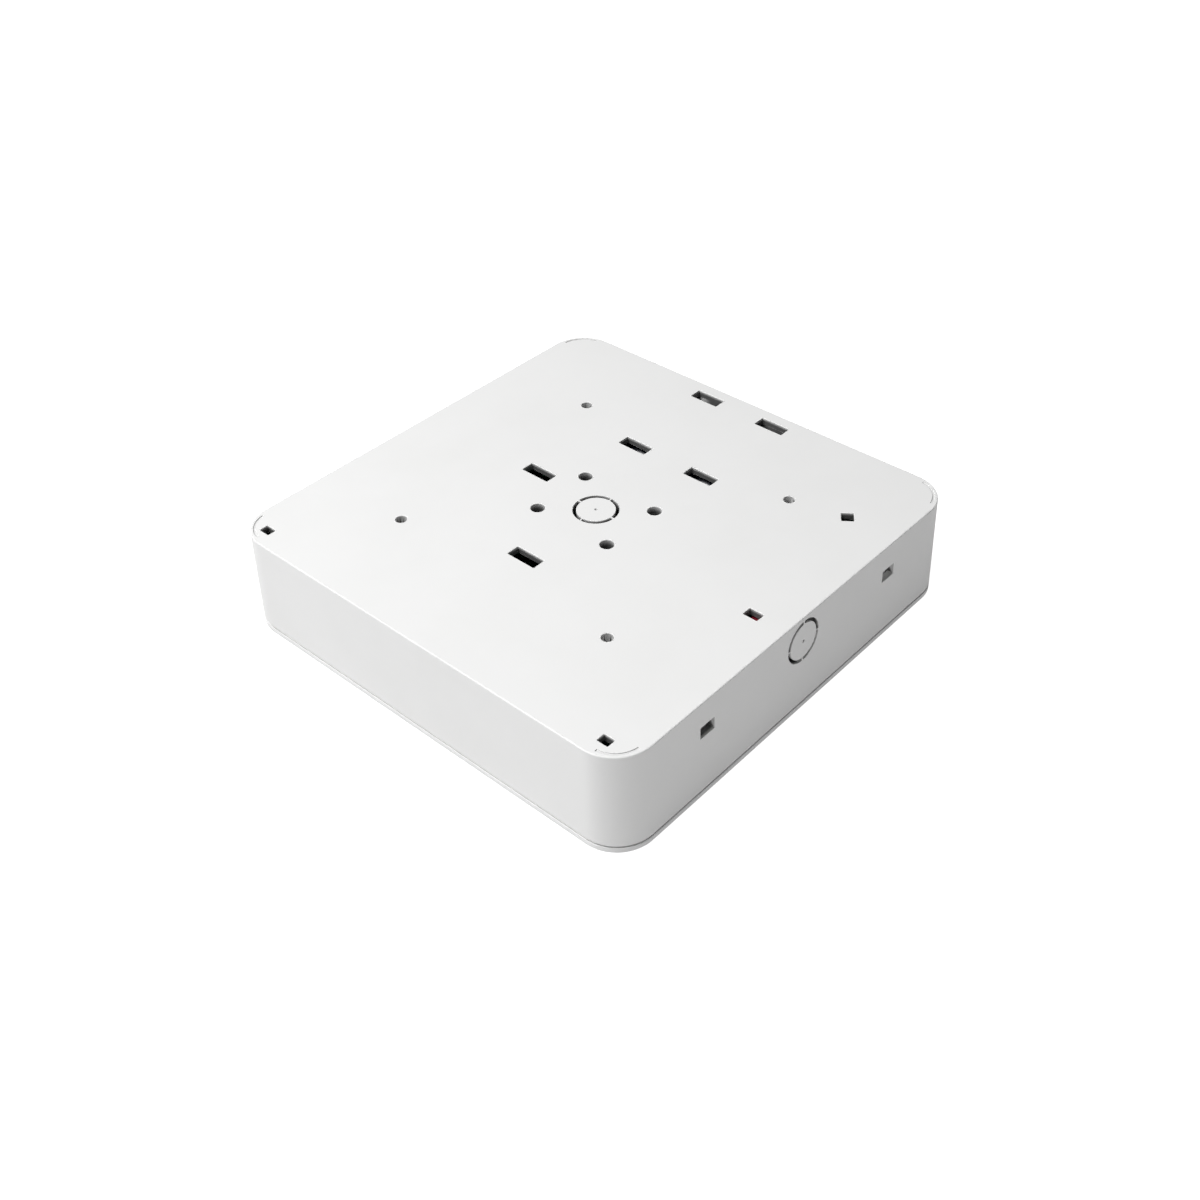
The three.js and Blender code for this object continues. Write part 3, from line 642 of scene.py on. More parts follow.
def front_cover():
    """The plate joined with its ribs, snap arms, tabs and boss, and bored for the light guide."""
    plate = cover_plate()
    length = 2 * (HALF - LIP_INSET) - LIP_THICK
    ribs = [made_block(size, middle, SUNK, 0.2) for at in RIB_AT for size, middle in (
        ((RIB, length, RIB_TOP - SUNK), (at, 0)), ((length, RIB, RIB_TOP - SUNK), (0, at)))]
    arms = []
    for sign in SIGNS:
        x = sign * SNAP_X
        arms.append(made_block((ARM_WIDTH, ARM_THICK, ARM_TOP - SUNK), (x, ARM_THICK / 2 - ARM_FACE), SUNK,
                               0.4))
        arms.append(made_block((ARM_WIDTH, 2 * ARM_THICK, LIP_TOP - SUNK), (x, ARM_THICK - ARM_FACE), SUNK,
                               0.3))
        arms.append(made_block((ARM_WIDTH + 3, LIP_THICK, TAB_TOP - SUNK), (x, ARM_FACE - LIP_THICK / 2),
                               SUNK, 0.4))
    boss, bore = cover_boss()
    whole = fused("cover_whole", plate, "UNION", ribs + arms + [boss])
    return fused("front_cover_shell", whole, "DIFFERENCE", [bore], 35)


# ---- Parts on the board: places in x and y, sizes across, along and up ----
CHIPS = ((-20, 34, 6, 8), (12, 38, 5, 6.5), (-33, -12.5, 6, 6.5), (-14, 66, 4, 5), (6, -42, 5, 6.5),
         (-36, 44, 4, 5))
CERAMICS = [(-24 + 3.4 * k, 43.4 + 2.4 * (k % 2), k % 3 == 0) for k in range(9)]
CERAMICS += [(-27 + 3.2 * k, -24 - 2.2 * (k % 2), k % 2 == 0) for k in range(10)]
CERAMICS += [(-25.6 + 2.6 * (k % 3), 8 + 3.1 * (k // 3), k % 2 == 1) for k in range(9)]
CERAMICS += [(8 + 3.0 * (k % 4), 22 + 3.4 * (k // 4), k % 3 == 1) for k in range(8)]
CHIP_HEIGHT, LEG, LEG_OUT, LEG_PITCH = 1.0, (0.9, 0.42, 0.45), 0.42, 1.27
CERAMIC, CERAMIC_END, END_STEP = (1.25, 1.1, 0.8), (0.4, 1.1, 0.86), 0.82
JACK_Y, CONTACT_PITCH, CONTACT_HALF, CONTACT_THICK = -20.0, 1.02, 0.17, 0.09
CAPACITORS = ((24, 44), (24, 57))
BUZZER, COIN_CELL, FUSE = (58, 60), (-57, -60), (27, -66.5)
CELL_R, BATTERY_TOP = 9.3, 33.3


def small_parts():
    """Chips, ceramic parts and their tinned ends, in rows on the board's open middle and by the sockets."""
    chips, ceramics, ends = Surface(), Surface(), Surface()
    under = BOARD_FACE - GAP / 3
    for x, y, width, depth in CHIPS:
        add_block(chips, (width, depth, CHIP_HEIGHT), (x, y), under - CHIP_HEIGHT, 0.12, 0.25)
        legs = int(depth / LEG_PITCH)
        for sign in SIGNS:
            for k in range(legs):
                at = (x + sign * (width / 2 + LEG_OUT), y + (k - (legs - 1) / 2) * LEG_PITCH)
                add_block(ends, LEG, at, under - LEG[2], 0.08, 0.08)
    for x, y, turned_over in CERAMICS:
        across = slice(1, None, -1) if turned_over else slice(2)
        size, cap = (CERAMIC[across] + CERAMIC[2:], CERAMIC_END[across] + CERAMIC_END[2:])
        add_block(ceramics, size, (x, y), under - 0.84, 0.08, 0.1)
        for sign in SIGNS:
            step = (sign * END_STEP, 0)[across]
            add_block(ends, cap, (x + step[0], y + step[1]), under - CERAMIC_END[2], 0.08, 0.08)
    return chips.build("board_chips"), ceramics.build("board_ceramics"), ends.build("board_solder_ends")


def jack_contacts():
    """Eight sprung wires: a thin flat strip on a path that slopes down from the back of the mouth and
    bends up again."""
    surface = Surface()
    path = np.array([(-54.4, 18.1), (-51.5, 17.9), (-48.0, 16.2), (-44.6, 14.6), (-43.9, 14.9),
                     (-44.2, 15.6)])
    slope = np.gradient(path, axis=0)
    lift = np.column_stack([-slope[:, 1], slope[:, 0]]) / np.hypot(*slope.T)[:, None] * CONTACT_THICK
    xz = path[:, None] + np.array([1, 1, -1, -1])[:, None] * lift[:, None]
    edges = np.array([-1, 1, 1, -1]) * CONTACT_HALF
    for k in range(8):
        y = np.broadcast_to(JACK_Y + (k - 3.5) * CONTACT_PITCH + edges, xz.shape[:2])
        loops = np.stack([xz[..., 0], y, xz[..., 1]], -1)
        surface.strip(list(loops))
        surface.add(loops[0], [[0, 1, 2, 3]])
        surface.add(loops[-1], [[3, 2, 1, 0]])
    return surface.build("jack_contacts", 60)


def battery_film():
    """Two cells in one film: across, a rounded outline that dips between the cells; along, it closes in to
    each end."""
    middle = np.array([BATTERY_X, BATTERY_TOP - CELL_R])
    a = np.linspace(0, 2 * math.pi, 96, endpoint=False)
    spread = 9.4
    across = spread * np.tanh(3.0 * np.cos(a)) / math.tanh(3.0) + (CELL_R - 0.1) * np.cos(a)
    dip = 1.0 - 0.1 * np.exp(-(across / 3.6) ** 2)
    up = (CELL_R - 0.05) * np.sin(a) * dip
    t = np.linspace(0, 1, 9)
    grow = np.concatenate([0.8 + 0.12 * t, [0.97, 0.99, 1.0]])
    along = np.concatenate([33.0 - 0.35 * t ** 4, [32.2, 31.6, 30.6]])
    half = list(zip(grow, along))
    stations = half + [(1.0, y) for y in np.linspace(24, -24, 9)] + [(g, -y) for g, y in reversed(half)]
    loops = [np.column_stack([middle[0] + across * g, np.full(len(a), y), middle[1] + up * g]) for g,
             y in stations]
    surface = Surface()
    surface.strip(loops)
    for loop, y in ((loops[0], 33.0), (loops[-1], -33.0)):
        surface.flat(loop[:, [0, 2]], [], lambda uv, y=y: np.column_stack([uv[:, 0], np.full(len(uv), y),
                                                                           uv[:, 1]]))
    return surface.build("battery_film", 50)


# ---- Turned parts ----
def turned(name, profile, x, y, steps=48, sharp=40):
    """One piece from a profile carried round an upright axis."""
    surface = Surface()
    add_turned(surface, profile, x, y, steps)
    return surface.build(name, sharp)


def round_corner(r, z, size, toward):
    """Quarter circle between a flat end at height z and the side at radius r; toward is +1 or -1, from the
    end inward."""
    t = np.linspace(0, math.pi / 2, 5)
    return [(r - size + size * math.sin(a), z + toward * size * (1 - math.cos(a))) for a in t]


def light_guide():
    """A flanged rod that narrows a little towards the light, with a shallow dished end to spread it."""
    top = round_corner(2.5, 21.4, 0.3, -1)[::-1]
    flange = round_corner(FLANGE_R, 2.3, 0.15, 1) + round_corner(FLANGE_R, 3.5, 0.15, -1)[::-1]
    profile = [(0.6, 0.36), (1.6, 0.28)] + round_corner(GUIDE_R, 0.2, 0.25, 1) + [(GUIDE_R, 2.3)]
    profile += flange + [(GUIDE_R + 0.25, 3.5), (GUIDE_R, 3.75), (2.75, 12.5)] + top + [(1.2, 21.34)]
    return turned("light_guide_rod", profile, 0, LED_Y, 64)


def filter_capacitor(name, x, y):
    """A sleeve rolled over the can's end, a bead near the foot, and a scored metal end set just inside."""
    end = [(3.6, 7.55), (3.85, 7.5), (4.05, 7.32)]
    sleeve = [(4.3, 7.3), (4.75, 7.36), (4.95, 7.6), (5.0, 7.9), (5.0, 20.3)]
    bead = [(5.0 - 0.4 * math.sin(a), 20.3 + 1.4 * a / math.pi) for a in np.linspace(0.3, math.pi, 8)]
    return turned(name, end + sleeve + bead + [(5.0, 23.0), (4.8, 23.2), (4.5, 23.3)], x, y)


def capacitor_ends():
    """The bare metal ends: a disc on each can with its score, three raised sectors between thin gaps."""
    surface = Surface()
    for x, y in CAPACITORS:
        for k in range(3):
            start = math.radians(120 * k + 4)
            sector = sector_hole(0.5, 3.3, start, start + math.radians(112), x, y)
            add_solid(surface, sector, 7.4, 7.54, 0.04)
    return surface.build("capacitor_ends")


def buzzer_case():
    """A round case with a ringed sound hole in its face and a groove near its foot."""
    hole = [(1.1, 16.9), (1.2, 16.8), (1.2, 15.5), (1.4, 15.3), (2.4, 15.3), (2.5, 15.45), (2.7, 15.45),
            (2.8, 15.3)]
    side = round_corner(6.0, 15.3, 0.6, 1) + [(6.0, 21.9), (5.8, 22.0), (5.8, 22.2), (6.0, 22.3),
                                              (6.0, 23.1), (5.8, 23.3)]
    return turned("buzzer_case", hole + side, *BUZZER, 64)


def coin_cell():
    """A flat disc with a rounded rim, stepped in where its lid is set."""
    rim = [(8.7, 18.95), (8.95, 18.92), (9.1, 18.9)] + round_corner(10.0, 18.9, 0.5, 1)
    return turned("coin_cell_disc", rim + [(10.0, 21.5), (9.8, 21.85), (9.0, 22.05), (8.4, 22.1)],
                  *COIN_CELL, 72)


def fuse_body():
    """A round-ended body with a groove above its foot."""
    cap = round_corner(4.2, 15.8, 0.6, 1)
    return turned("fuse_body", cap + [(4.2, 21.9), (3.95, 22.0), (3.95, 22.4), (4.2, 22.5), (4.2, 23.15),
                                      (4.05, 23.3)],
                  *FUSE)


# ---- Finishes ----
def feed(tree, node, inputs):
    """Sets each input to a value, or joins it to a socket."""
    for key, value in inputs.items():
        if isinstance(value, bpy.types.NodeSocket):
            tree.links.new(value, node.inputs[key])
        else:
            node.inputs[key].default_value = value


def add_node(tree, kind, inputs=None, **settings):
    """A node with its settings, and each input set to a value or joined to a socket."""
    node = tree.nodes.new("ShaderNode" + kind)
    for key, value in settings.items():
        setattr(node, key, value)
    feed(tree, node, inputs or {})
    return node


def blend_colour(tree, factor, first, second):
    """The first colour where the factor is 0, and the second where it is 1."""
    node = add_node(tree, "Mix", data_type="RGBA", blend_type="MIX")
    feed(tree, node, {0: factor, 6: first, 7: second})
    return node.outputs[2]


def sums(tree, kind, first, second=0.5, third=0.5, clamp=False):
    """One step of arithmetic on up to three values or sockets."""
    return add_node(tree, "Math", {0: first, 1: second, 2: third}, operation=kind, use_clamp=clamp).outputs[0]


def ramp(tree, value, low, high):
    """0 below low, 1 above high, and smooth between."""
    settings = {"Value": value, "From Min": low, "From Max": high}
    return add_node(tree, "MapRange", settings, interpolation_type="SMOOTHSTEP").outputs["Result"]


def noise(tree, vector, scale, detail=2.0, roughness=0.5):
    """Soft noise, about 0.5 on average."""
    settings = {"Vector": vector, "Scale": scale, "Detail": detail, "Roughness": roughness}
    return add_node(tree, "TexNoise", settings).outputs["Fac"]


def new_group(name, inputs, outputs):
    """A shader node group with named sockets; a colour, vector or number is told by the kind."""
    tree = bpy.data.node_groups.new(name, "ShaderNodeTree")
    for direction, sockets in (("INPUT", inputs), ("OUTPUT", outputs)):
        for label, kind in sockets.items():
            tree.interface.new_socket(label, in_out=direction, socket_type="NodeSocket" + kind)
    start, end = tree.nodes.new("NodeGroupInput"), tree.nodes.new("NodeGroupOutput")
    return tree, start.outputs, end.inputs


def moulded_texture():
    """Spark-eroded mould surface: fine bumps, broad slow changes of shade, and rub marks in the gloss."""
    tree, given, result = new_group(
        "moulded_texture",
        {"Vector": "Vector", "Colour": "Color", "Shade": "Color", "Grain Size": "Float",
         "Roughness": "Float", "Spread": "Float"},
        {"Colour": "Color", "Roughness": "Float", "Height": "Float"})
    scale = sums(tree, "DIVIDE", 1.0, given["Grain Size"])
    fine = noise(tree, given["Vector"], scale, 3.0, 0.6)
    broad = noise(tree, given["Vector"], 28.0, 3.0, 0.55)
    marks = noise(tree, given["Vector"], 190.0, 5.0, 0.7)
    shade = sums(tree, "MULTIPLY_ADD", broad, 0.7, sums(tree, "MULTIPLY", fine, 0.3))
    tree.links.new(blend_colour(tree, ramp(tree, shade, 0.35, 0.75), given["Colour"], given["Shade"]),
                   result["Colour"])
    change = sums(tree, "SUBTRACT", sums(tree, "MULTIPLY_ADD", marks, 0.6,
                                         sums(tree, "MULTIPLY", broad, 0.4)), 0.5)
    tree.links.new(sums(tree, "MULTIPLY_ADD", change, given["Spread"], given["Roughness"], clamp=True),
                   result["Roughness"])
    tree.links.new(fine, result["Height"])
    return tree


def settled_dust():
    """Fine dust on faces that look up: a mask from the face's direction times a patchy noise."""
    tree, given, result = new_group(
        "settled_dust",
        {"Vector": "Vector", "Direction": "Vector", "Colour": "Color", "Dust": "Color", "Amount": "Float",
         "Roughness": "Float"},
        {"Colour": "Color", "Roughness": "Float"})
    up = add_node(tree, "SeparateXYZ", {"Vector": given["Direction"]}).outputs["Z"]
    patches = ramp(tree, noise(tree, given["Vector"], 75.0, 6.0, 0.65), 0.45, 0.8)
    specks = ramp(tree, noise(tree, given["Vector"], 2600.0, 2.0), 0.62, 0.72)
    cover = sums(tree, "ADD", sums(tree, "MULTIPLY", patches, 0.6), sums(tree, "MULTIPLY", specks, 0.4))
    mask = sums(tree, "MULTIPLY", sums(tree, "MULTIPLY", cover, ramp(tree, up, 0.2, 0.9)), given["Amount"],
                clamp=True)
    tree.links.new(blend_colour(tree, mask, given["Colour"], given["Dust"]), result["Colour"])
    tree.links.new(sums(tree, "MULTIPLY_ADD", mask, 0.4, given["Roughness"], clamp=True), result["Roughness"])
    return tree


def worn_edges():
    """A mask of the convex edges, from how far the rounded normal turns away from the face's own, broken
    by noise."""
    tree, given, result = new_group(
        "worn_edges",
        {"Vector": "Vector", "Radius": "Float", "Colour": "Color", "Bare": "Color", "Amount": "Float"},
        {"Colour": "Color", "Mask": "Float"})
    soft = add_node(tree, "Bevel", {"Radius": given["Radius"]}, samples=4).outputs["Normal"]
    face = add_node(tree, "NewGeometry").outputs["Normal"]
    turn = add_node(tree, "VectorMath", {0: soft, 1: face}, operation="DOT_PRODUCT").outputs["Value"]
    edge = ramp(tree, sums(tree, "SUBTRACT", 1.0, turn), 0.02, 0.2)
    broken = sums(tree, "MULTIPLY", edge, ramp(tree, noise(tree, given["Vector"], 900.0, 4.0, 0.7), 0.35,
                                               0.65))
    mask = sums(tree, "MULTIPLY", broken, given["Amount"], clamp=True)
    tree.links.new(blend_colour(tree, mask, given["Colour"], given["Bare"]), result["Colour"])
    tree.links.new(mask, result["Mask"])
    return tree


def drawn_metal():
    """Rolled or drawn metal: fine lines along one way, stains, and a slow change of gloss."""
    tree, given, result = new_group(
        "drawn_metal",
        {"Vector": "Vector", "Colour": "Color", "Stain": "Color", "Roughness": "Float"},
        {"Colour": "Color", "Roughness": "Float", "Height": "Float"})
    stretched = add_node(tree, "Mapping", {"Vector": given["Vector"],
                                           "Scale": (1.0, 0.04, 1.0)}).outputs["Vector"]
    lines = noise(tree, stretched, 6500.0, 3.0, 0.6)
    stain = noise(tree, given["Vector"], 320.0, 5.0, 0.65)
    tree.links.new(blend_colour(tree, ramp(tree, stain, 0.5, 0.85), given["Colour"], given["Stain"]),
                   result["Colour"])
    change = sums(tree, "MULTIPLY_ADD", stain, 0.22, sums(tree, "MULTIPLY_ADD", lines, 0.16,
                                                          given["Roughness"]))
    tree.links.new(sums(tree, "SUBTRACT", change, 0.19, clamp=True), result["Roughness"])
    tree.links.new(lines, result["Height"])
    return tree


GROUPS = {make.__name__: make() for make in (moulded_texture, settled_dust, worn_edges, drawn_metal)}


def use_group(tree, name, inputs):
    """Places a shared effect in a material, with its own values."""
    node = tree.nodes.new("ShaderNodeGroup")
    node.node_tree = GROUPS[name]
    feed(tree, node, inputs)
    return node.outputs


def grey(value, alpha=1.0):
    """A neutral colour."""
    return (value, value, value, alpha)


def start_finish(name, **constants):
    """A material with its shader; constant values go on the shader's own sockets."""
    material = bpy.data.materials.new(name)
    material.use_nodes = True
    tree = material.node_tree
    shader = tree.nodes["Principled BSDF"]
    for key, value in constants.items():
        shader.inputs[key.replace("_", " ")].default_value = value
    place = add_node(tree, "TexCoord")
    return material, tree, shader, place.outputs["Object"], place.outputs["Normal"]


def raise_surface(tree, shader, height, distance, strength=1.0):
    """Feeds a height to the shader as bump."""
    bump = add_node(tree, "Bump", {"Height": height, "Distance": distance, "Strength": strength})
    tree.links.new(bump.outputs["Normal"], shader.inputs["Normal"])


def moulded(name, colour, shade, roughness, spread=0.2, grain=0.0005, depth=0.00004, dust=0.0, wear=0.0,
            bare=None,
            recess=None, plated=None, **more):
    """Moulded plastic: the mould's texture, then rubbed edges, then dust, then painted shade in recesses,
    feeding colour, roughness and bump."""
    material, tree, shader, place, facing = start_finish(name, **more)
    skin = use_group(tree, "moulded_texture", {
        "Vector": place, "Colour": colour, "Shade": shade, "Grain Size": grain, "Roughness": roughness,
        "Spread": spread})
    tint, gloss = skin["Colour"], skin["Roughness"]
    if wear:
        rubbed = use_group(tree, "worn_edges", {
            "Vector": place, "Radius": 0.0002, "Colour": tint, "Bare": bare or shade, "Amount": wear})
        tint = rubbed["Colour"]
    if dust:
        dusty = use_group(tree, "settled_dust", {
            "Vector": place, "Direction": facing, "Colour": tint, "Dust": (0.62, 0.59, 0.54, 1.0),
            "Amount": dust, "Roughness": gloss})
        tint, gloss = dusty["Colour"], dusty["Roughness"]
    # Painted shade: the colour darkens towards the recess colour with depth below the face, in holes, slots and
    # grooves.
    if recess:
        deep = add_node(tree, "Attribute", attribute_name="recess").outputs["Fac"]
        tint = blend_colour(tree, ramp(tree, deep, 0.0, 0.5), tint, recess)
    if plated:
        level, bright = plated
        height = add_node(tree, "SeparateXYZ", {"Vector": place}).outputs["Z"]
        mask = ramp(tree, height, level, level - 0.00005)
        dull = ramp(tree, noise(tree, place, 700.0, 3.0), 0.5, 0.85)
        tint = blend_colour(tree, mask, tint, blend_colour(tree, dull, bright, grey(0.4)))
        gloss = sums(tree, "MULTIPLY_ADD", mask, -0.16, gloss)
        tree.links.new(mask, shader.inputs["Metallic"])
    feed(tree, shader, {"Base Color": tint, "Roughness": gloss})
    raise_surface(tree, shader, skin["Height"], depth)
    return material


def metal(name, colour, stain, roughness, wear=0.5, depth=0.00001, **more):
    """Drawn sheet metal, rubbed bright along its edges."""
    material, tree, shader, place, _ = start_finish(name, Metallic=1.0, **more)
    skin = use_group(tree, "drawn_metal", {"Vector": place, "Colour": colour, "Stain": stain,
                                           "Roughness": roughness})
    rubbed = use_group(tree, "worn_edges", {
        "Vector": place, "Radius": 0.00015, "Colour": skin["Colour"], "Bare": grey(0.9), "Amount": wear})
    feed(tree, shader, {"Base Color": rubbed["Colour"], "Roughness": skin["Roughness"]})
    raise_surface(tree, shader, skin["Height"], depth)
    return material


def solder_mask():
    """Board lacquer: copper lines show as ridges in stripes that turn from patch to patch, with round vias
    between."""
    material, tree, shader, place, _ = start_finish("board_green", Coat_Weight=0.35, Coat_Roughness=0.12)
    cells = add_node(tree, "TexVoronoi", {"Vector": place, "Scale": 95.0, "Randomness": 0.9},
                     voronoi_dimensions="2D")
    pick = add_node(tree, "SeparateColor", {"Color": cells.outputs["Color"]}).outputs[0]
    axes = add_node(tree, "SeparateXYZ", {"Vector": place}).outputs
    along = sums(tree, "GREATER_THAN", pick, 0.5)
    across = sums(tree, "ADD", sums(tree, "MULTIPLY", axes["X"], along),
                  sums(tree, "MULTIPLY", axes["Y"], sums(tree, "SUBTRACT", 1.0, along)))
    wave = sums(tree, "PINGPONG", sums(tree, "MULTIPLY", across, 1000.0), 0.5)
    lines = sums(tree, "MULTIPLY", ramp(tree, wave, 0.2, 0.3),
                 ramp(tree, cells.outputs["Distance"], 0.52, 0.42))
    busy = ramp(tree, noise(tree, place, 60.0, 2.0), 0.42, 0.5)
    copper = sums(tree, "MULTIPLY", lines, busy)
    dots = add_node(tree, "TexVoronoi", {"Vector": place, "Scale": 340.0, "Randomness": 0.6},
                    voronoi_dimensions="2D")
    rings = ramp(tree, dots.outputs["Distance"], 0.16, 0.1)
    some = sums(tree, "GREATER_THAN", add_node(tree, "SeparateColor",
                                               {"Color": dots.outputs["Color"]}).outputs[1], 0.72)
    vias = sums(tree, "MULTIPLY", rings, some)
    base = blend_colour(tree, noise(tree, place, 40.0), (0.006, 0.09, 0.045, 1.0), (0.012, 0.13, 0.065, 1.0))
    lined = blend_colour(tree, copper, base, (0.03, 0.24, 0.1, 1.0))
    tinned = blend_colour(tree, vias, lined, (0.55, 0.52, 0.42, 1.0))
    tree.links.new(tinned, shader.inputs["Base Color"])
    tree.links.new(sums(tree, "MULTIPLY", vias, 0.9), shader.inputs["Metallic"])
    tree.links.new(sums(tree, "MULTIPLY_ADD", noise(tree, place, 500.0, 4.0), 0.25, 0.25),
                   shader.inputs["Roughness"])
    raise_surface(tree, shader, sums(tree, "ADD", copper, vias), 0.00004)
    return material


def shrink_film():
    """Heat-shrunk film: long drawn wrinkles that gather towards the cells' ends, under a glossy skin."""
    material, tree, shader, place, _ = start_finish("battery_wrap", Coat_Weight=0.5, Coat_Roughness=0.15)
    stretched = add_node(tree, "Mapping", {"Vector": place, "Scale": (1.0, 0.18, 1.0)}).outputs["Vector"]
    folds = noise(tree, stretched, 420.0, 5.0, 0.6)
    skin = use_group(tree, "moulded_texture", {
        "Vector": place, "Colour": (0.012, 0.016, 0.03, 1.0), "Shade": (0.03, 0.035, 0.055, 1.0),
        "Grain Size": 0.002, "Roughness": 0.32, "Spread": 0.25})
    y = add_node(tree, "SeparateXYZ", {"Vector": place}).outputs["Y"]
    ends = ramp(tree, sums(tree, "ABSOLUTE", y), 0.018, 0.033)
    feed(tree, shader, {"Base Color": skin["Colour"], "Roughness": skin["Roughness"]})
    raise_surface(tree, shader, sums(tree, "MULTIPLY", folds, sums(tree, "MULTIPLY_ADD", ends, 0.85, 0.15)),
                  0.0006)
    return material


def clear_moulding():
    """Clear plastic with a faint mould texture."""
    material, tree, shader, place, _ = start_finish(
        "clear_plastic", Transmission_Weight=1.0, IOR=1.49, Metallic=0.0)
    skin = use_group(tree, "moulded_texture", {
        "Vector": place, "Colour": (0.95, 0.97, 0.98, 1.0), "Shade": (0.88, 0.92, 0.94, 1.0),
        "Grain Size": 0.0006, "Roughness": 0.2, "Spread": 0.15})
    feed(tree, shader, {"Base Color": skin["Colour"], "Roughness": skin["Roughness"]})
    raise_surface(tree, shader, skin["Height"], 0.00002)
    return material


def finish(*skin, **more):
    """One moulded finish: colour, shade, roughness, its spread, grain size and bump depth, then what is
    added."""
    return skin, more


MOULDED = {
    # The shell's recess colour is the painted shade in its holes, slots and grooves.
    "shell_white": finish((0.8, 0.8, 0.797, 1.0), (0.775, 0.775, 0.77, 1.0), 0.46, 0.22, 0.00035, 0.000022,
        dust=0.04, wear=0.25, bare=grey(0.86), recess=grey(0.12)),
    "black_plastic": finish(grey(0.022), grey(0.04), 0.48, 0.3, 0.0004, 0.00003, dust=0.12, wear=0.4,
                            bare=grey(0.11)),
    "header_pins": finish(grey(0.022), grey(0.04), 0.46, 0.3, 0.0004, 0.00003, dust=0.1,
        plated=(0.0208, (0.78, 0.56, 0.24, 1.0))),
    "modem_can": finish((0.008, 0.1, 0.05, 1.0), (0.012, 0.13, 0.06, 1.0), 0.42, 0.25, 0.0004, 0.00002,
                        dust=0.08,
        plated=(0.0225, (0.66, 0.66, 0.64, 1.0))),
    "ivory_plastic": finish((0.74, 0.69, 0.56, 1.0), (0.66, 0.6, 0.46, 1.0), 0.42, 0.2, 0.0004, 0.00002,
                            dust=0.1),
    "terminal_green": finish((0.03, 0.26, 0.09, 1.0), (0.02, 0.19, 0.07, 1.0), 0.4, 0.25, 0.0004, 0.00002,
        dust=0.1, wear=0.4, bare=(0.12, 0.4, 0.18, 1.0)),
    "tamper_red": finish((0.16, 0.006, 0.016, 1.0), (0.11, 0.004, 0.012, 1.0), 0.4, 0.2, 0.0004, 0.00002,
        wear=0.5, bare=(0.5, 0.08, 0.08, 1.0)),
    "varistor_blue": finish((0.02, 0.11, 0.4, 1.0), (0.015, 0.08, 0.3, 1.0), 0.22, 0.2, 0.0016, 0.00012,
        Coat_Weight=0.6, Coat_Roughness=0.1),
    "capacitor_sleeve": finish((0.012, 0.014, 0.03, 1.0), (0.022, 0.024, 0.045, 1.0), 0.28, 0.2, 0.0012,
                               0.00005,
        dust=0.1, Coat_Weight=0.4, Coat_Roughness=0.15),
    "lead_red": finish((0.42, 0.014, 0.012, 1.0), (0.32, 0.01, 0.01, 1.0), 0.5, 0.2, 0.0003, 0.00002,
                       dust=0.1),
    "lead_black": finish(grey(0.014), grey(0.026), 0.52, 0.2, 0.0003, 0.00002, dust=0.15),
}
FINISHES = {name: moulded(name, *skin, **more) for name, (skin, more) in MOULDED.items()}
FINISHES.update({
    "screw_steel": metal("screw_steel", (0.6, 0.61, 0.62, 1.0), (0.42, 0.41, 0.38, 1.0), 0.32),
    "tinned_metal": metal("tinned_metal", (0.68, 0.68, 0.66, 1.0), (0.5, 0.49, 0.46, 1.0), 0.3),
    "antenna_brass": metal("antenna_brass", (0.72, 0.55, 0.27, 1.0), (0.45, 0.3, 0.12, 1.0), 0.3),
    "board_green": solder_mask(),
    "battery_wrap": shrink_film(),
    "clear_plastic": clear_moulding(),
})
FINISH_OF = {
    "shell_white": ("front_cover", "rear_housing"),
    "clear_plastic": ("light_guide",),
    "board_green": ("main_board",),
    "header_pins": ("service_header",),
    "modem_can": ("modem_module",),
    "screw_steel": ("board_screw_1", "board_screw_2", "board_screw_3", "board_screw_4", "terminal_screw_1",
                    "terminal_screw_2"),
    "tinned_metal": ("ethernet_jack", "shield_can", "sim_holder", "coin_cell"),
    "antenna_brass": ("antenna_1", "antenna_2"),
    "ivory_plastic": ("status_led", "battery_plug", "battery_socket"),
    "black_plastic": ("buzzer", "fuse", "coin_cell_holder", "tamper_switch", "power_switch", "power_module",
                      "power_button"),
    "tamper_red": ("tamper_plunger",),
    "battery_wrap": ("battery_pack",),
    "lead_red": ("battery_lead_red",),
    "lead_black": ("battery_lead_black",),
    "terminal_green": ("power_terminal",),
    "varistor_blue": ("varistor",),
    "capacitor_sleeve": ("filter_capacitor_1", "filter_capacitor_2"),
}


def set_finish(piece, slot):
    """Gives a piece one material."""
    piece.data.materials.clear()
    piece.data.materials.append(FINISHES[slot])


SOFT_EDGE = 0.00012
MERGE = 1e-6


def weld(node):
    """Joins a CAD node's loose triangles and shades them smoothly."""
    node.data.shade_smooth()
    node.modifiers.new("weld", "WELD").merge_threshold = MERGE


def soften(node):
    """Welds the node and rounds its edges by a small width, with smooth faces between."""
    weld(node)
    edge = node.modifiers.new("edge", "BEVEL")
    edge.width = SOFT_EDGE
    edge.segments = 2
    edge.limit_method = "ANGLE"
    edge.angle_limit = math.radians(35)
    even = node.modifiers.new("even", "WEIGHTED_NORMAL")
    even.weight = 100


NO_BEVEL = ("rear_housing", "battery_lead_red", "battery_lead_black")
for slot_name, names in FINISH_OF.items():
    for node_name in names:
        cad_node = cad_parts[node_name]
        set_finish(cad_node, slot_name)
        if node_name not in NO_BEVEL:
            soften(cad_node)
        elif node_name != "rear_housing":
            weld(cad_node)


def place(piece, slot, body, *replaced):
    """Gives the piece its finish and slot, its body, and the frame's nodes that it stands for."""
    set_finish(piece, slot)
    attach(piece, body)
    if replaced:
        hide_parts(*replaced)
    return piece


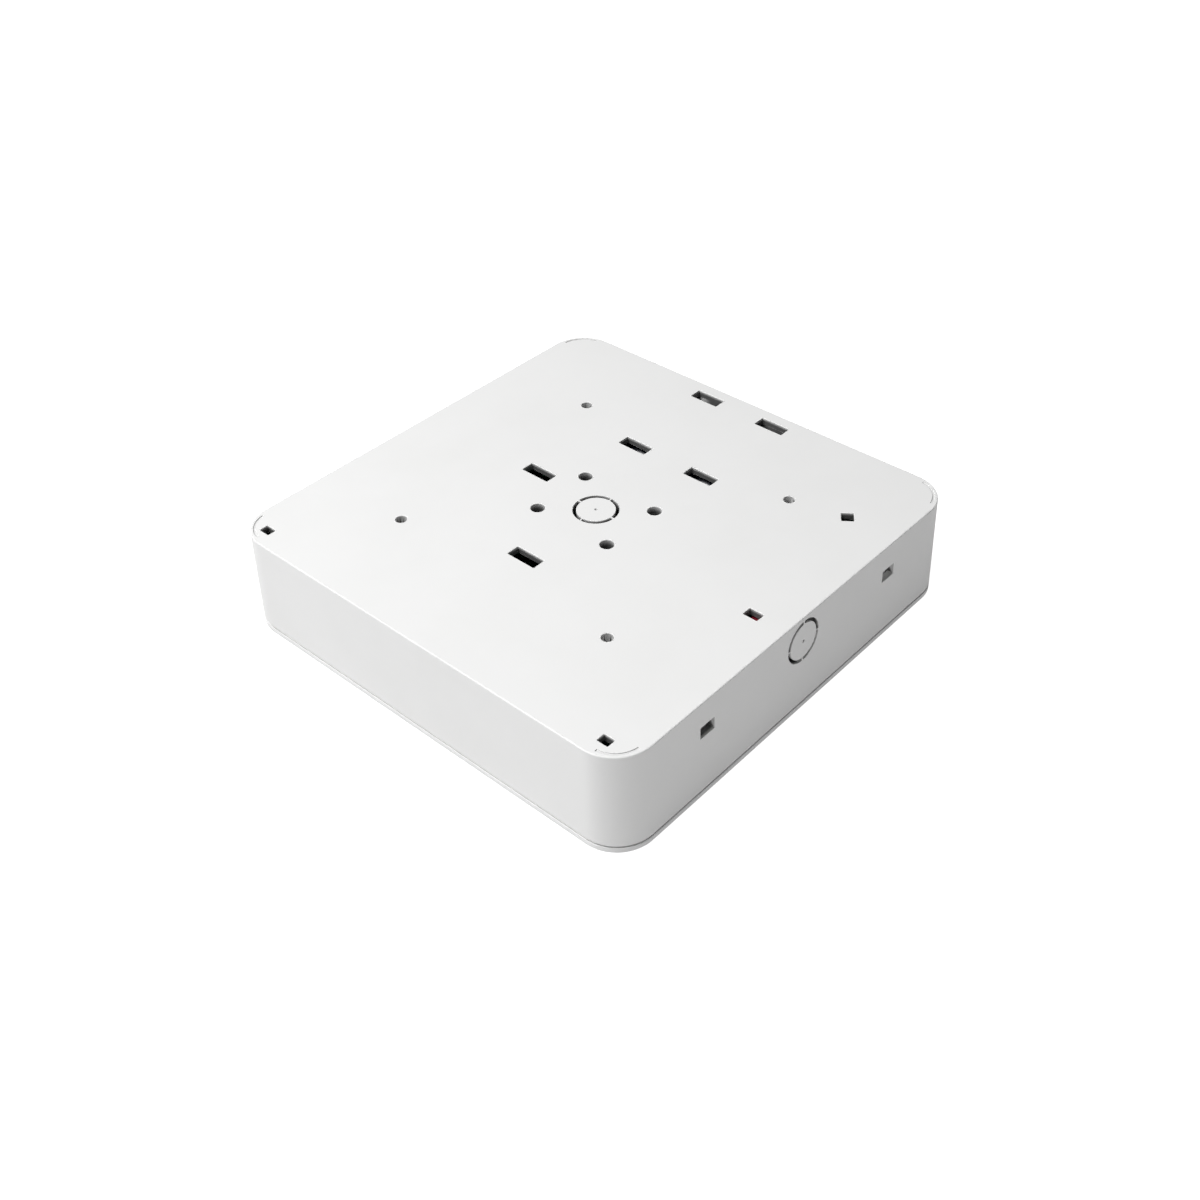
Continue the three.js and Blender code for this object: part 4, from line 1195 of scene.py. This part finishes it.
place(rear_housing(), "shell_white", "housing", "rear_housing")
place(front_cover(), "shell_white", "cover", "front_cover")
place(battery_film(), "battery_wrap", "housing", "battery_pack")
place(jack_contacts(), "antenna_brass", "housing")
place(light_guide(), "clear_plastic", "cover", "light_guide")
for number, (cap_x, cap_y) in enumerate(CAPACITORS, 1):
    can = filter_capacitor(f"capacitor_can_{number}", cap_x, cap_y)
    place(can, "capacitor_sleeve", "housing", f"filter_capacitor_{number}")
place(capacitor_ends(), "tinned_metal", "housing")
place(buzzer_case(), "black_plastic", "housing", "buzzer")
place(coin_cell(), "tinned_metal", "housing", "coin_cell")
place(fuse_body(), "black_plastic", "housing", "fuse")
for small_part, small_slot in zip(small_parts(), ("black_plastic", "ivory_plastic", "tinned_metal")):
    place(small_part, small_slot, "housing")


# ---- Floor, light and camera ----
def floor():
    """A wide pale floor. The camera sees it as white, and it gives the object only a soft bounce."""
    bpy.ops.mesh.primitive_plane_add(size=12)
    plane = bpy.context.object
    plane.name = "floor"
    material, tree, shader, place, _ = start_finish("floor_white", Emission_Strength=1.0)
    shade = blend_colour(tree, noise(tree, place, 6.0), grey(0.36), grey(0.345))
    tree.links.new(shade, shader.inputs["Base Color"])
    seen = add_node(tree, "LightPath").outputs["Is Camera Ray"]
    tree.links.new(blend_colour(tree, seen, grey(FLOOR_BOUNCE), grey(1.0)), shader.inputs["Emission Color"])
    shader.inputs["Roughness"].default_value = 0.8
    shader.inputs["Specular IOR Level"].default_value = 0.1
    plane.data.materials.append(material)


def soft_light(name, place, target, size, power):
    """A round lamp that faces its target."""
    data = bpy.data.lights.new(name, "AREA")
    data.shape, data.size, data.energy = "DISK", size, power
    lamp = bpy.data.objects.new(name, data)
    lamp.location = place
    lamp.visible_camera = False
    lamp.rotation_euler = (Vector(target) - Vector(place)).to_track_quat("-Z", "Y").to_euler()
    bpy.context.scene.collection.objects.link(lamp)


def studio_camera():
    """Turn, tilt and roll give the way ahead and the way up; the camera stands at its place with both."""
    data = bpy.data.cameras.new("camera")
    data.sensor_width, data.lens = 36.0, CAMERA_LENS
    data.clip_start = 0.01
    camera = bpy.data.objects.new("camera", data)
    turn, tilt, roll = (math.radians(a) for a in CAMERA_ANGLES)
    ahead = Vector((-math.sin(turn) * math.cos(tilt), math.cos(turn) * math.cos(tilt), -math.sin(tilt)))
    side = ahead.cross(Vector((0, 0, 1))).normalized()
    above = side.cross(ahead)
    right = math.cos(roll) * side + math.sin(roll) * above
    up = math.cos(roll) * above - math.sin(roll) * side
    pose = Matrix((right, up, -ahead)).transposed().to_4x4()
    pose.translation = CAMERA_PLACE
    camera.matrix_world = pose
    bpy.context.scene.collection.objects.link(camera)
    bpy.context.scene.camera = camera


CAMERA_LENS = 43.44
CAMERA_ANGLES = (-47.06, 39.86, -1.67)
CAMERA_PLACE = (-0.26953, -0.25141, 0.30649)
FLOOR_BOUNCE = 0.53
WORLD_GLOW = 0.05
KEY_PLACE, KEY_SIZE, KEY_POWER = (-0.5, 0.45, 1.18), 1.0, 24.3
FILL_PLACE, FILL_SIZE, FILL_POWER = (-0.2, -0.4, 0.2), 0.15, 0.17

floor()
soft_light("key", KEY_PLACE, (0, 0, 0), KEY_SIZE, KEY_POWER)
soft_light("fill", FILL_PLACE, (-0.05, -0.08, 0.02), FILL_SIZE, FILL_POWER)
studio_camera()
world = bpy.data.worlds.new("studio")
world.use_nodes = True
sky = world.node_tree.nodes["Background"]
sky_seen = add_node(world.node_tree, "LightPath").outputs["Is Camera Ray"]
world.node_tree.links.new(blend_colour(world.node_tree, sky_seen, grey(WORLD_GLOW), grey(1.0)),
                          sky.inputs["Color"])
bpy.context.scene.world = world
bpy.context.scene.view_settings.view_transform = "Standard"
